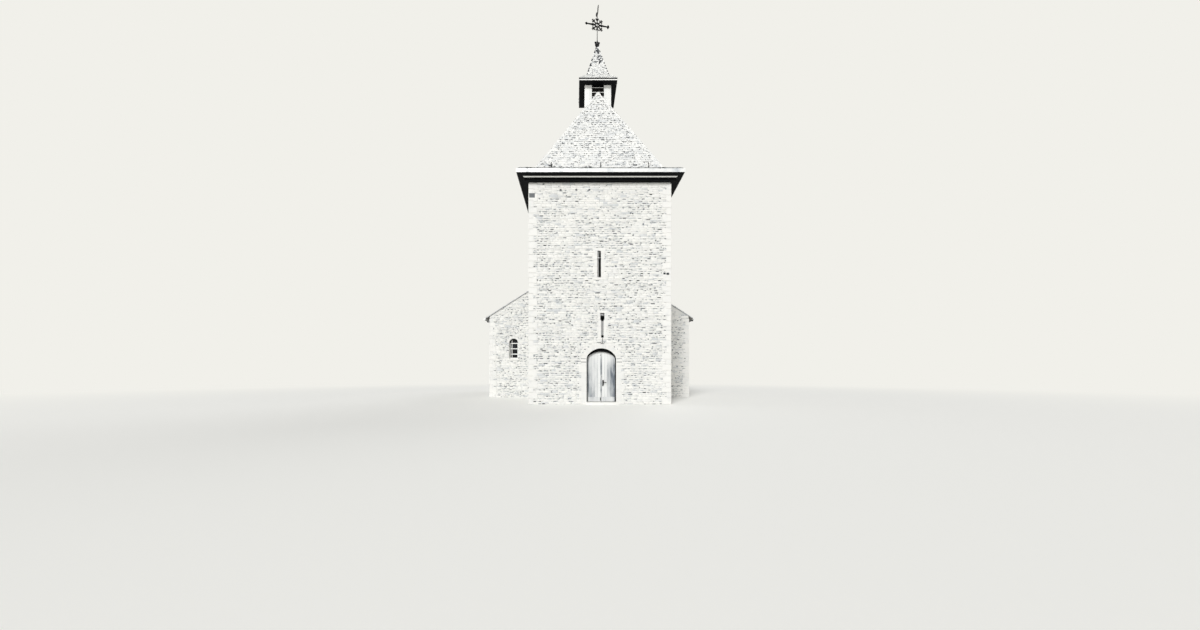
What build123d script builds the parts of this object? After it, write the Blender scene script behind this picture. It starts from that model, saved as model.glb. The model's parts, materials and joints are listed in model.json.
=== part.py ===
from build123d import *
import math
import os

# A small rubble-stone chapel: a square west tower with a hipped slate roof, a louvred turret and
# spire on its ridge, and a low nave behind it. Millimetres, +Z up. The front of the tower faces -Y.
# The origin lies on the ground, under the middle of the whole building.

# ---- tower ----
tower_width = 6500
tower_depth = 6500
tower_wall = 900
tower_wall_height = 10545
tower_offset = 295          # the tower stands this far right of the nave's middle line
floor_top = 110

# ---- doorway, its middle measured from the tower's middle line ----
door_offset = 70
door_width = 1360
door_springing = 2060
door_rise = 510             # from the springing line to the crown of the arch
door_haunch_radius = 340
door_surround = 240         # width of a jamb stone
arch_ring = 200             # depth of the arch stones over the crown
surround_depth = 200
frame_post = 40             # timber frame between the surround and the leaves
frame_head = 150
frame_depth = 80
frame_haunch_radius = 240
step_width = 1600
step_projection = 350

# ---- door leaves ----
leaf_overlap = 35           # how far a leaf reaches behind the stone surround
leaf_meeting_gap = 16
leaf_running_gap = 5        # between a leaf and the back of the surround
leaf_floor_gap = 10
board_thickness = 40
ledge_thickness = 30
ledge_height = 150
ledge_inset = 45            # from a leaf's edges to the ends of its ledges
strap_thickness = 8
strap_height = 60
strap_length = 520
eye_radius = 22
pin_radius = 12
pin_clearance = 0.5
hinge_offset = 30           # from a leaf's outer edge to its hinge line
pintle_arm_height = 28
pintle_heights = (480, 1780)
handle_height = 1000
handle_offset = 85          # from the leaf's meeting edge
handle_plate_width = 70
handle_plate_height = 220
handle_plate_thickness = 5
spindle_radius = 13
spindle_length = 60
lever_length = 160
lever_height = 26
lever_thickness = 18
lever_stand_off = 48        # from the boards to the back of the lever

# ---- slits in the tower walls ----
slit_width = 157
slit_sill = 5820
slit_head = 7040
slit_offset = -30
slit_splay = 450            # how much wider a slit is on the inside
loop_width = 115
loop_sill = 3060
loop_head_width = 190
loop_head_sill = 3870
loop_head_top = 4190
loop_offset = 115

# ---- passage between tower and nave ----
passage_width = 2000
passage_springing = 2200

# ---- eaves of the tower ----
cornice_projection = 190
cornice_bottom = 10170
bead_bottom = 10310
bead_height = 35
bead_projection = 215
soffit_projection = 465
soffit_thickness = 35
gutter_projection = 510
gutter_width = 130
gutter_height = 160
gutter_wall = 18

# ---- tower roof ----
eave_projection = 440
eave_thickness = 55
eave_clearance = 5          # between the gutter and the roof edge over it
flare_run = 640             # from the eave edge in to the break of slope
flare_rise = 233
flare_seat = 200            # width of the flat seat under the steep slopes
roof_height = 5267          # from the break of slope to the ridge
ridge_length = 1700
ridge_offset = 55           # the ridge and turret stand this far right of the tower's middle
roof_thickness = 120
hook_positions = (-2250, 50, 2280)
hook_bottom = 160           # over the break of slope
hook_height = 280
hook_width = 24
hook_stand_off = 60
hook_lip = 70
hook_lip_thickness = 14
hook_thickness = 8

# ---- turret ----
turret_width = 1375
turret_top = 16620
turret_panel = 367
turret_panel_thickness = 80
turret_eave_width = 1970
turret_eave_height = 150
turret_eave_hollow = 1100
spire_break_width = 1140
spire_break_rise = 500
spire_height = 2430
spire_tip_width = 90
spire_shell = 60
spire_hollow_tip = 16       # width of the hollow at its top
louvre_pitch = 240
louvre_thickness = 22
louvre_depth = 170
louvre_drop = 75            # the outer edge of a slat below its inner edge
louvre_top_gap = 60
louvre_roof_gap = 8
louvre_setback = 6

# ---- ball, cross and weathercock ----
ball_radius = 125
ball_center_rise = 170      # over the spire's tip
ball_neck_radius = 45
ball_top_rise = 320
shaft_radius = 20
cross_center = 20430
cross_span = 1400
cross_bar = 36
cross_plate = 24
cross_turn = 11             # degrees, the right arm turned back
arrow_length = 120
arrow_half = 55
ring_reach = 165
ring_bar = 45
ray_start = 68              # where a ray leaves the ring, along each axis
ray_reach = 300
ray_bar = 25
ray_head = 60
shaft_top = 20750
collar_radius = 32
collar_height = 20
cock_pin_radius = 11
cock_pin_height = 100
socket_radius = 20
socket_cap = 18
cock_plate = 12
cock_turn = -75             # degrees, the cock's tail turned to the front
cock_top = 21350
cock_height = 500

# ---- nave ----
nave_width = 12200
nave_length = 11500
nave_wall = 700
nave_ridge_height = 8870
nave_slope = 0.633          # rise for each unit of run
nave_roof_thickness = 140
nave_slates = 35            # the thin part of the roof that runs out over the gable walls
nave_eave_projection = 250
nave_verge = 60
ridge_cover = 170
ridge_cover_thickness = 14
nave_gutter_width = 120
nave_gutter_side = 35
nave_gutter_wall = 8
nave_gutter_drop = 20       # from the roof's edge down to the gutter's rim

# ---- nave windows ----
window_width = 530
window_sill = 2370
window_height = 1230
window_recess = 200
window_offset = 4640        # from the nave's middle line, in the end walls
windows_per_side = 3
pane_thickness = 30
pane_gap = 0.3

# ---- places worked out from the sizes above ----
nave_front = tower_depth - nave_wall
total_depth = gutter_projection + nave_front + nave_length + nave_verge
front = gutter_projection - total_depth / 2
back = front + tower_depth
tower_x = tower_offset
tower_y = front + tower_depth / 2
left = tower_x - tower_width / 2
right = tower_x + tower_width / 2
door_x = tower_x + door_offset
door_rough_half = door_width / 2 + door_surround
door_rough_top = door_springing + door_rise + arch_ring
surround_back = front + surround_depth
nave_west = front + nave_front
nave_east = nave_west + nave_length
nave_half = nave_width / 2
nave_inner_half = nave_half - nave_wall
nave_eave_half = nave_half + nave_eave_projection
nave_roof_drop = nave_roof_thickness * math.hypot(1, nave_slope)
nave_slate_drop = nave_slates * math.hypot(1, nave_slope)
break_half = tower_width / 2 + eave_projection - flare_run
roof_base = tower_wall_height
break_height = roof_base + eave_thickness + flare_rise
ridge_height = break_height + roof_height
spire_base = turret_top + turret_eave_height
turret_x = tower_x + ridge_offset
spire_tip = spire_base + spire_height

overrun = 1                 # how far a cutter runs past what it cuts

saved = {}


def keep(name, shape):
    saved[name] = shape


def block(x0, x1, y0, y1, z0, z1):
    box = Box(x1 - x0, y1 - y0, z1 - z0)
    return Pos((x0 + x1) / 2, (y0 + y1) / 2, (z0 + z1) / 2) * box


def square_ring(outer, inner, z0, z1, x=tower_x, y=tower_y):
    plate = block(x - outer, x + outer, y - outer, y + outer, z0, z1)
    return plate - block(x - inner, x + inner, y - inner, y + inner, z0 - overrun, z1 + overrun)


def along_y(points, y0, y1):
    outline = Polyline(*[(x, y0, z) for x, z in points], close=True)
    return extrude(make_face(outline), amount=y1 - y0, dir=(0, 1, 0))


def along_x(points, x0, x1):
    outline = Polyline(*[(x0, y, z) for y, z in points], close=True)
    return extrude(make_face(outline), amount=x1 - x0, dir=(1, 0, 0))


def upright(points, z0, z1):
    outline = Polyline(*[(x, y, z0) for x, y in points], close=True)
    return extrude(make_face(outline), amount=z1 - z0, dir=(0, 0, 1))


def rod(x, y, z0, z1, radius):
    return Pos(x, y, (z0 + z1) / 2) * Cylinder(radius, z1 - z0)


def prismatoid(lower, upper):
    """A solid between two outlines with as many corners each, with flat faces."""
    count = len(lower)
    faces = [lower, upper]
    for i in range(count):
        j = (i + 1) % count
        faces.append([lower[i], lower[j], upper[j], upper[i]])
    shell = Shell([Face(Wire.make_polygon(points, close=True)) for points in faces])
    return Solid(shell)


def square_at(half, z, middle=tower_x):
    corners = ((-half, -half), (half, -half), (half, half), (-half, half))
    return [(middle + x, tower_y + y, z) for x, y in corners]


def basket_arch(middle, y0, y1, sill, half, springing, rise, haunch):
    """A doorway shape with a three-centred head, run from y0 to y1."""
    crown_radius = ((half - haunch) ** 2 + rise**2 - haunch**2) / (2 * (rise - haunch))
    crown_center = springing + rise - crown_radius
    lean = math.atan2(springing - crown_center, half - haunch)

    def on_haunch(side, angle):
        x = middle + side * (half - haunch + haunch * math.cos(angle))
        return (x, y0, springing + haunch * math.sin(angle))

    crown = (middle, y0, springing + rise)
    outline = [
        Line((middle - half, y0, sill), (middle + half, y0, sill)),
        Line((middle + half, y0, sill), on_haunch(1, 0)),
        ThreePointArc(on_haunch(1, 0), on_haunch(1, lean / 2), on_haunch(1, lean)),
        ThreePointArc(on_haunch(1, lean), crown, on_haunch(-1, lean)),
        ThreePointArc(on_haunch(-1, lean), on_haunch(-1, lean / 2), on_haunch(-1, 0)),
        Line(on_haunch(-1, 0), (middle - half, y0, sill)),
    ]
    return extrude(make_face(outline), amount=y1 - y0, dir=(0, 1, 0))


def round_arch(middle, y0, y1, sill, half, top):
    """An opening with a half-round head, run from y0 to y1."""
    springing = top - half
    outline = [
        Line((middle - half, y0, sill), (middle + half, y0, sill)),
        Line((middle + half, y0, sill), (middle + half, y0, springing)),
        ThreePointArc((middle + half, y0, springing), (middle, y0, top), (middle - half, y0, springing)),
        Line((middle - half, y0, springing), (middle - half, y0, sill)),
    ]
    return extrude(make_face(outline), amount=y1 - y0, dir=(0, 1, 0))


def splayed_slit(middle, width, splay, y0, y1, z0, z1):
    """A slit that widens from y0 to y1."""
    points = (
        (middle - width / 2, y0),
        (middle + width / 2, y0),
        (middle + (width + splay) / 2, y1),
        (middle - (width + splay) / 2, y1),
    )
    return upright(points, z0, z1)


def turned_about_turret(shape, degrees):
    return shape.rotate(Axis((turret_x, tower_y, 0), (0, 0, 1)), degrees)


# ---- floors and step ----
def make_floors():
    room = block(left + tower_wall, right - tower_wall, front + tower_wall, back - tower_wall, 0, floor_top)
    sill = block(door_x - door_rough_half, door_x + door_rough_half, surround_back,
                 front + tower_wall, 0, floor_top)
    passage = block(tower_x - passage_width / 2, tower_x + passage_width / 2,
                    back - tower_wall, back, 0, floor_top)
    keep("tower_floor", room + sill + passage)
    keep("nave_floor", block(-nave_inner_half, nave_inner_half, back, nave_east - nave_wall, 0, floor_top))
    tread = block(door_x - step_width / 2, door_x + step_width / 2, front - step_projection, front,
                  0, floor_top)
    threshold = block(door_x - door_width / 2, door_x + door_width / 2, front, surround_back, 0, floor_top)
    keep("doorstep", tread + threshold)


# ---- tower walls ----
def make_tower_walls():
    inner_front = front + tower_wall
    inner_back = back - tower_wall
    top = tower_wall_height
    keep("tower_front_left", block(left, door_x - door_rough_half, front, inner_front, 0, door_rough_top))
    keep("tower_front_right", block(door_x + door_rough_half, right, front, inner_front, 0, door_rough_top))
    upper = block(left, right, front, inner_front, door_rough_top, top)
    slit_x = tower_x + slit_offset
    slit = splayed_slit(slit_x, slit_width, slit_splay, front, inner_front, slit_sill, slit_head)
    loop_x = tower_x + loop_offset
    loop = splayed_slit(loop_x, loop_width, slit_splay, front, inner_front, loop_sill, loop_head_sill)
    loop_head = splayed_slit(loop_x, loop_head_width, slit_splay, front, inner_front,
                             loop_head_sill, loop_head_top)
    keep("tower_front_upper", upper - slit - loop - loop_head)
    side_slit = splayed_slit(tower_x, slit_width, slit_splay, front, inner_front, slit_sill, slit_head)
    side_slit = side_slit.rotate(Axis((tower_x, tower_y, 0), (0, 0, 1)), -90)
    reach = (tower_width - tower_depth) / 2
    left_slit = Pos(-reach, 0, 0) * side_slit
    right_slit = Pos(reach, 0, 0) * side_slit.rotate(Axis((tower_x, tower_y, 0), (0, 0, 1)), 180)
    keep("tower_left_wall", block(left, left + tower_wall, inner_front, inner_back, 0, top) - left_slit)
    keep("tower_right_wall", block(right - tower_wall, right, inner_front, inner_back, 0, top) - right_slit)
    edge = passage_width / 2
    left_pier = block(left, tower_x - edge, inner_back, back, 0, passage_springing)
    right_pier = block(tower_x + edge, right, inner_back, back, 0, passage_springing)
    keep("tower_back_piers", Compound(children=[left_pier, right_pier]))
    passage = round_arch(tower_x, inner_back, back, 0, edge, passage_springing + edge)
    keep("tower_back_upper", block(left, right, inner_back, back, passage_springing, top) - passage)


# ---- doorway and door ----
def doorway(y0, y1, grow, sill):
    return basket_arch(door_x, y0, y1, sill, door_width / 2 + grow, door_springing,
                       door_rise + grow, door_haunch_radius + grow)


def make_doorway():
    half = door_width / 2
    left_jamb = block(door_x - door_rough_half, door_x - half, front, surround_back, 0, door_springing)
    right_jamb = block(door_x + half, door_x + door_rough_half, front, surround_back, 0, door_springing)
    keep("door_jambs", Compound(children=[left_jamb, right_jamb]))
    head = block(door_x - door_rough_half, door_x + door_rough_half, front, surround_back,
                 door_springing, door_rough_top)
    keep("door_arch", head - doorway(front, surround_back, 0, 0))
    frame_front = surround_back - frame_depth
    inside = basket_arch(door_x, frame_front, surround_back, floor_top, half - frame_post, door_springing,
                         door_rise - frame_head, frame_haunch_radius)
    keep("door_frame", doorway(frame_front, surround_back, 0, floor_top) - inside)


def make_leaf(side, name):
    outer_face = surround_back + leaf_running_gap
    ledge_face = outer_face + board_thickness
    inner_face = ledge_face + ledge_thickness
    bottom = floor_top + leaf_floor_gap
    edge = door_x + side * (door_width / 2 + leaf_overlap)
    meeting = door_x + side * leaf_meeting_gap / 2
    x0, x1 = sorted((edge, meeting))
    shape = doorway(outer_face, ledge_face, leaf_overlap, bottom)
    boards = shape & block(x0, x1, outer_face, ledge_face, bottom, door_rough_top)
    for height in pintle_heights:
        boards = boards + block(x0 + ledge_inset, x1 - ledge_inset, ledge_face, inner_face,
                                height - ledge_height / 2, height + ledge_height / 2)
    keep(f"door_leaf_{name}", boards)

    hinge_x = edge + side * hinge_offset
    hinge_y = inner_face + strap_thickness / 2
    straps = None
    for height in pintle_heights:
        z0 = height - strap_height / 2
        z1 = height + strap_height / 2
        end = hinge_x - side * strap_length
        s0, s1 = sorted((hinge_x, end))
        strap = block(s0, s1, inner_face, inner_face + strap_thickness, z0, z1)
        strap = strap + rod(hinge_x, hinge_y, z0, z1, eye_radius)
        strap = strap - rod(hinge_x, hinge_y, z0 - overrun, z1 + overrun, pin_radius + pin_clearance)
        straps = strap if straps is None else straps + strap
    keep(f"door_straps_{name}", straps)
    return hinge_x, hinge_y


def make_pintles(hinges):
    pintles = None
    for hinge_x, hinge_y in hinges:
        for height in pintle_heights:
            shoulder = height - strap_height / 2 - pin_clearance
            arm = block(hinge_x - pin_radius, hinge_x + pin_radius, surround_back, hinge_y,
                        shoulder - pintle_arm_height, shoulder)
            boss = rod(hinge_x, hinge_y, shoulder - pintle_arm_height, shoulder, eye_radius)
            pin = rod(hinge_x, hinge_y, shoulder, height + strap_height / 2 + pin_radius, pin_radius)
            pintle = arm + boss + pin
            pintles = pintle if pintles is None else pintles + pintle
    keep("door_pintles", pintles)


def make_handle():
    face = surround_back + leaf_running_gap
    x = door_x + leaf_meeting_gap / 2 + handle_offset
    half = handle_plate_height / 2
    plate = block(x - handle_plate_width / 2, x + handle_plate_width / 2, face - handle_plate_thickness, face,
                  handle_height - half, handle_height + half)
    spindle = Pos(x, face - spindle_length / 2, handle_height) * Rot(90, 0, 0)
    spindle = spindle * Cylinder(spindle_radius, spindle_length)
    start = x - spindle_radius
    back_of_lever = face - lever_stand_off
    lever = block(start, start + lever_length, back_of_lever - lever_thickness, back_of_lever,
                  handle_height - lever_height / 2, handle_height + lever_height / 2)
    keep("door_handle", plate + spindle + lever)


# ---- eaves and roof of the tower ----
def make_eaves():
    half = tower_width / 2
    bead_top = bead_bottom + bead_height
    frieze = square_ring(half + cornice_projection, half, cornice_bottom, bead_bottom)
    keep("tower_cornice", frieze)
    keep("cornice_bead", square_ring(half + bead_projection, half, bead_bottom, bead_top))
    soffit_top = bead_top + soffit_thickness
    keep("tower_soffit", square_ring(half + soffit_projection, half, bead_top, soffit_top))
    outer = half + gutter_projection
    trough = square_ring(outer - gutter_wall, outer - gutter_width + gutter_wall,
                         soffit_top + gutter_wall, soffit_top + gutter_height + overrun)
    gutter = square_ring(outer, outer - gutter_width, soffit_top, soffit_top + gutter_height)
    keep("tower_gutter", gutter - trough)


def roof_plan(lift):
    """The four corners at the break of slope and the two ridge ends, raised by a lift."""
    corners = square_at(break_half, break_height + lift)
    half = ridge_length / 2
    ends = [(turret_x, tower_y - half, ridge_height + lift), (turret_x, tower_y + half, ridge_height + lift)]
    return corners, ends


def make_tower_roof():
    eave_half = tower_width / 2 + eave_projection
    seat_half = break_half - flare_seat
    lower = prismatoid(square_at(eave_half, roof_base), square_at(eave_half, roof_base + eave_thickness))
    upper = prismatoid(square_at(eave_half, roof_base + eave_thickness), square_at(break_half, break_height))
    well = block(tower_x - seat_half, tower_x + seat_half, tower_y - seat_half, tower_y + seat_half,
                 roof_base - overrun, break_height + overrun)
    keep("tower_roof_flare", lower + upper - well)

    def inset(tangent):
        return roof_thickness * math.hypot(1, tangent) / tangent

    left_tan = roof_height / (break_half + ridge_offset)
    right_tan = roof_height / (break_half - ridge_offset)
    end_tan = roof_height / (break_half - ridge_length / 2)
    inner_left = break_half - inset(left_tan)
    inner_right = break_half - inset(right_tan)
    inner_end = break_half - inset(end_tan)
    # The two side slopes' undersides meet along a line a little off the ridge.
    meet = (inner_right * right_tan - inner_left * left_tan) / (left_tan + right_tan)
    meet_height = break_height + (meet + inner_left) * left_tan
    meet_half = inner_end - (meet_height - break_height) / end_tan
    outer_corners, outer_ridge = roof_plan(0)
    inner_corners = [
        (tower_x + x, tower_y + y, break_height)
        for x, y in (
            (-inner_left, -inner_end), (inner_right, -inner_end),
            (inner_right, inner_end), (-inner_left, inner_end),
        )
    ]
    inner_ridge = [
        (tower_x + meet, tower_y - meet_half, meet_height),
        (tower_x + meet, tower_y + meet_half, meet_height),
    ]

    def slope(name, corner_numbers, ridge_numbers):
        outer = [outer_corners[i] for i in corner_numbers] + [outer_ridge[i] for i in ridge_numbers]
        inner = [inner_corners[i] for i in corner_numbers] + [inner_ridge[i] for i in ridge_numbers]
        keep(name, prismatoid(inner, outer))

    slope("tower_roof_front", (0, 1), (0,))
    slope("tower_roof_back", (2, 3), (1,))
    slope("tower_roof_right", (1, 2), (1, 0))
    slope("tower_roof_left", (3, 0), (0, 1))


def roof_hull(clearance):
    """The whole steep roof as one solid, raised by a clearance, to cut what stands on it."""
    corners, ends = roof_plan(clearance)
    faces = [
        corners,
        [corners[0], corners[1], ends[0]],
        [corners[2], corners[3], ends[1]],
        [corners[1], corners[2], ends[1], ends[0]],
        [corners[3], corners[0], ends[0], ends[1]],
    ]
    return Solid(Shell([Face(Wire.make_polygon(points, close=True)) for points in faces]))


def make_hooks():
    end_run = break_half - ridge_length / 2
    z0 = break_height + hook_bottom
    z1 = z0 + hook_height
    lip_top = z0 + hook_lip
    foot_top = z0 + hook_lip_thickness

    def slope_y(z):
        return tower_y - break_half + (z - break_height) * end_run / roof_height

    outer = slope_y(z0) - hook_stand_off
    points = (
        (slope_y(z0), z0),
        (outer, z0),
        (outer, lip_top),
        (outer + hook_lip_thickness, lip_top),
        (outer + hook_lip_thickness, foot_top),
        (slope_y(foot_top) - hook_thickness, foot_top),
        (slope_y(z1) - hook_thickness, z1),
        (slope_y(z1), z1),
    )
    hooks = []
    for place in hook_positions:
        x = tower_x + place
        hooks.append(along_x(points, x - hook_width / 2, x + hook_width / 2))
    keep("roof_hooks", Compound(children=hooks))


# ---- turret and spire ----
def make_turret():
    half = turret_width / 2
    inner = half - turret_panel_thickness
    roof = roof_hull(0)
    bottom = break_height + roof_height / 2
    posts = None
    for sx in (-1, 1):
        for sy in (-1, 1):
            points = (
                (half, half),
                (half, half - turret_panel),
                (inner, half - turret_panel),
                (inner, inner),
                (half - turret_panel, inner),
                (half - turret_panel, half),
            )
            placed = [(turret_x + sx * x, tower_y + sy * y) for x, y in points]
            post = upright(placed, bottom, turret_top) - roof
            posts = post if posts is None else posts + post
    keep("turret_posts", posts)

    opening_half = half - turret_panel
    cut = roof_hull(louvre_roof_gap)
    slats = None
    count = int((turret_top - bottom) / louvre_pitch)
    for row in range(count):
        z = turret_top - louvre_top_gap - row * louvre_pitch
        y_outer = tower_y - half + louvre_setback
        points = (
            (y_outer, z - louvre_drop),
            (y_outer, z - louvre_drop + louvre_thickness),
            (y_outer + louvre_depth, z + louvre_thickness),
            (y_outer + louvre_depth, z),
        )
        slat = along_x(points, turret_x - opening_half, turret_x + opening_half)
        for turn in (0, 90, 180, 270):
            piece = turned_about_turret(slat, turn) - cut
            for solid in piece.solids():
                if solid.volume > louvre_thickness * louvre_depth * louvre_pitch / 4:
                    slats = solid if slats is None else slats + solid
    keep("turret_louvres", slats)

    eave_half = turret_eave_width / 2
    keep("turret_eaves", square_ring(eave_half, turret_eave_hollow / 2, turret_top, spire_base, turret_x))

    def spire(inset):
        drop = 2 * inset
        tip_half = max(spire_tip_width / 2 - inset, spire_hollow_tip / 2)
        lower = prismatoid(square_at(eave_half - inset, spire_base, turret_x),
                           square_at(spire_break_width / 2 - inset, spire_base + spire_break_rise, turret_x))
        upper = prismatoid(square_at(spire_break_width / 2 - inset, spire_base + spire_break_rise, turret_x),
                           square_at(tip_half, spire_tip - drop, turret_x))
        return lower + upper

    keep("turret_spire", spire(0) - spire(spire_shell))


# ---- ball, cross and weathercock ----
def make_ball():
    center = spire_tip + ball_center_rise
    ball = Pos(turret_x, tower_y, center) * Sphere(ball_radius)
    neck = rod(turret_x, tower_y, spire_tip, spire_tip + ball_top_rise, ball_neck_radius)
    keep("spire_ball", ball + neck)


def make_cross():
    foot = spire_tip + ball_top_rise
    shaft = rod(turret_x, tower_y, foot, shaft_top, shaft_radius)
    collar = rod(turret_x, tower_y, shaft_top, shaft_top + collar_height, collar_radius)
    pin = rod(turret_x, tower_y, shaft_top + collar_height,
              shaft_top + collar_height + cock_pin_height, cock_pin_radius)
    y0 = tower_y - cross_plate / 2
    y1 = tower_y + cross_plate / 2
    tip = cross_span / 2
    neck = tip - arrow_length
    notch = tip - arrow_length * 0.8
    half_bar = cross_bar / 2
    arm = (
        (-tip, 0), (-neck, -arrow_half), (-notch, -half_bar), (notch, -half_bar), (neck, -arrow_half),
        (tip, 0), (neck, arrow_half), (notch, half_bar), (-notch, half_bar), (-neck, arrow_half),
    )

    def placed(points):
        return [(turret_x + x, cross_center + z) for x, z in points]

    def diamond(reach, back_off):
        corners = ((-reach, 0), (0, -reach), (reach, 0), (0, reach))
        return along_y(placed(corners), y0 - back_off, y1 + back_off)

    bars = along_y(placed(arm), y0, y1) + (diamond(ring_reach, 0) - diamond(ring_reach - ring_bar, overrun))
    root = ray_start - ray_bar
    end = ray_reach - ray_bar
    wing = ray_reach - ray_head
    for sx in (-1, 1):
        for sz in (-1, 1):
            ray = (
                (sx * ray_start, sz * root), (sx * ray_reach, sz * wing), (sx * end, sz * end),
                (sx * wing, sz * ray_reach), (sx * root, sz * ray_start),
            )
            bars = bars + along_y(placed(ray), y0, y1)
    cross = shaft + turned_about_turret(bars, cross_turn)
    keep("spire_cross", cross + collar + pin)


def make_weathercock():
    base = shaft_top + collar_height + pin_clearance
    socket_top = shaft_top + collar_height + cock_pin_height + socket_cap
    socket = rod(turret_x, tower_y, base, socket_top, socket_radius)
    bore = rod(turret_x, tower_y, base - overrun, socket_top - socket_cap + pin_clearance,
               cock_pin_radius + pin_clearance)
    # The outline runs round the bird from its feet, along the breast and head, over the back
    # and up the tail. x is negative at the head, z is measured down from the tip of the tail.
    outline = (
        (-30, -640), (-20, -560), (-110, -520), (-175, -440), (-200, -340), (-205, -270),
        (-250, -240), (-300, -250), (-262, -205), (-240, -150), (-190, -125), (-140, -160),
        (-125, -230), (-80, -300), (0, -330), (60, -290), (80, -200), (110, -90), (180, -10),
        (250, 0), (300, -60), (255, -110), (285, -190), (235, -220), (255, -300), (200, -330),
        (205, -410), (140, -450), (90, -520), (20, -560), (30, -640),
    )
    scale = cock_height / max(-z for _, z in outline)
    placed = [(turret_x + x * scale, cock_top + z * scale) for x, z in outline]
    plate = along_y(placed, tower_y - cock_plate / 2, tower_y + cock_plate / 2)
    cock = (plate + socket) - bore
    keep("weathercock", turned_about_turret(cock, cock_turn))


# ---- nave ----
def roof_outer(x):
    return nave_ridge_height - nave_slope * abs(x)


def roof_under(x):
    return roof_outer(x) - nave_roof_drop


def slate_under(x):
    return roof_outer(x) - nave_slate_drop


def window_hole(middle, y0, y1, shrink=0.0):
    return round_arch(middle, y0, y1, window_sill, window_width / 2 - shrink,
                      window_sill + window_height - shrink)


def side_window_places():
    length = (nave_east - nave_wall) - back
    return [back + length * (i + 0.5) / windows_per_side for i in range(windows_per_side)]


def side_window(place, x0, x1, shrink=0.0):
    """A window through a side wall from x0 to x1, in the middle of its bay."""
    hole = window_hole(0, 0, x1 - x0, shrink)
    return Pos(x1, place, 0) * Rot(0, 0, 90) * hole


def make_nave_walls():
    inner_west = back
    inner_east = nave_east - nave_wall
    west = []
    for side, x0, x1 in ((-1, -nave_half, left), (1, right, nave_half)):
        points = ((x0, 0), (x1, 0), (x1, slate_under(x1)), (x0, slate_under(x0)))
        hole = window_hole(side * window_offset, nave_west, inner_west)
        west.append((along_y(points, nave_west, inner_west) - hole).solid())
    keep("nave_west_wall", Compound(children=west))
    gable = (
        (-nave_half, 0), (nave_half, 0), (nave_half, slate_under(nave_half)),
        (0, slate_under(0)), (-nave_half, slate_under(nave_half)),
    )
    east = along_y(gable, inner_east, nave_east)
    for side in (-1, 1):
        east = east - window_hole(side * window_offset, inner_east, nave_east)
    keep("nave_east_wall", east)
    for name, side in (("left", -1), ("right", 1)):
        points = (
            (side * nave_half, 0), (side * nave_inner_half, 0),
            (side * nave_inner_half, roof_under(nave_inner_half)),
            (side * nave_half, roof_under(nave_half)),
        )
        wall = along_y(points, inner_west, inner_east)
        x0, x1 = sorted((side * nave_half, side * nave_inner_half))
        for place in side_window_places():
            wall = wall - side_window(place, x0, x1)
        keep(f"nave_{name}_wall", wall)


def make_panes():
    west_y = nave_west + window_recess
    east_y = nave_east - window_recess - pane_thickness
    panes = []
    for side in (-1, 1):
        panes.append(window_hole(side * window_offset, west_y, west_y + pane_thickness, pane_gap))
        panes.append(window_hole(side * window_offset, east_y, east_y + pane_thickness, pane_gap))
    for place in side_window_places():
        outer = nave_half - window_recess
        panes.append(side_window(place, -outer, -outer + pane_thickness, pane_gap))
        panes.append(side_window(place, outer - pane_thickness, outer, pane_gap))
    keep("nave_windows", Compound(children=[pane.solid() for pane in panes]))


def make_nave_roof():
    y0 = nave_west - nave_verge
    y1 = nave_east + nave_verge
    tower = block(left, right, front, back, 0, tower_wall_height)
    for name, side in (("left", -1), ("right", 1)):
        edge = side * nave_eave_half
        thick = (
            (0, roof_outer(0)), (edge, roof_outer(edge)),
            (edge, roof_under(edge)), (0, roof_under(0)),
        )
        thin = (
            (0, roof_outer(0)), (edge, roof_outer(edge)),
            (edge, slate_under(edge)), (0, slate_under(0)),
        )
        roof = along_y(thin, y0, y1) + along_y(thick, back, nave_east - nave_wall)
        keep(f"nave_roof_{name}", roof - tower)
    rise = ridge_cover_thickness * math.hypot(1, nave_slope)
    cover = (
        (0, roof_outer(0) + rise), (ridge_cover, roof_outer(ridge_cover) + rise),
        (ridge_cover, roof_outer(ridge_cover)), (0, roof_outer(0)),
        (-ridge_cover, roof_outer(ridge_cover)), (-ridge_cover, roof_outer(ridge_cover) + rise),
    )
    keep("nave_ridge", along_y(cover, back, y1))


def gutter_shape(x0, x1, top, depth_side, y0, y1):
    radius = (x1 - x0) / 2
    turn = top - depth_side
    middle = (x0 + x1) / 2
    outline = [
        Line((x0, y0, top), (x0, y0, turn)),
        ThreePointArc((x0, y0, turn), (middle, y0, turn - radius), (x1, y0, turn)),
        Line((x1, y0, turn), (x1, y0, top)),
        Line((x1, y0, top), (x0, y0, top)),
    ]
    return extrude(make_face(outline), amount=y1 - y0, dir=(0, 1, 0))


def make_nave_gutters():
    top = roof_outer(nave_eave_half) - nave_gutter_drop
    gutters = []
    for side in (-1, 1):
        x0, x1 = sorted((side * nave_eave_half, side * (nave_eave_half + nave_gutter_width)))
        outer = gutter_shape(x0, x1, top, nave_gutter_side, nave_west, nave_east)
        wall = nave_gutter_wall
        inner = gutter_shape(x0 + wall, x1 - wall, top + overrun, nave_gutter_side + overrun,
                             nave_west + wall, nave_east - wall)
        gutters.append((outer - inner).solid())
    keep("nave_gutters", Compound(children=gutters))


make_floors()
make_tower_walls()
make_doorway()
left_hinge = make_leaf(-1, "left")
right_hinge = make_leaf(1, "right")
make_pintles((left_hinge, right_hinge))
make_handle()
make_eaves()
make_tower_roof()
make_hooks()
make_turret()
make_ball()
make_cross()
make_weathercock()
make_nave_walls()
make_panes()
make_nave_roof()
make_nave_gutters()

os.makedirs("parts", exist_ok=True)
for name, shape in saved.items():
    export_step(shape, f"parts/{name}.step")
print("hinge lines", left_hinge, right_hinge, "cock", (turret_x, tower_y, shaft_top + collar_height))
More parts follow.
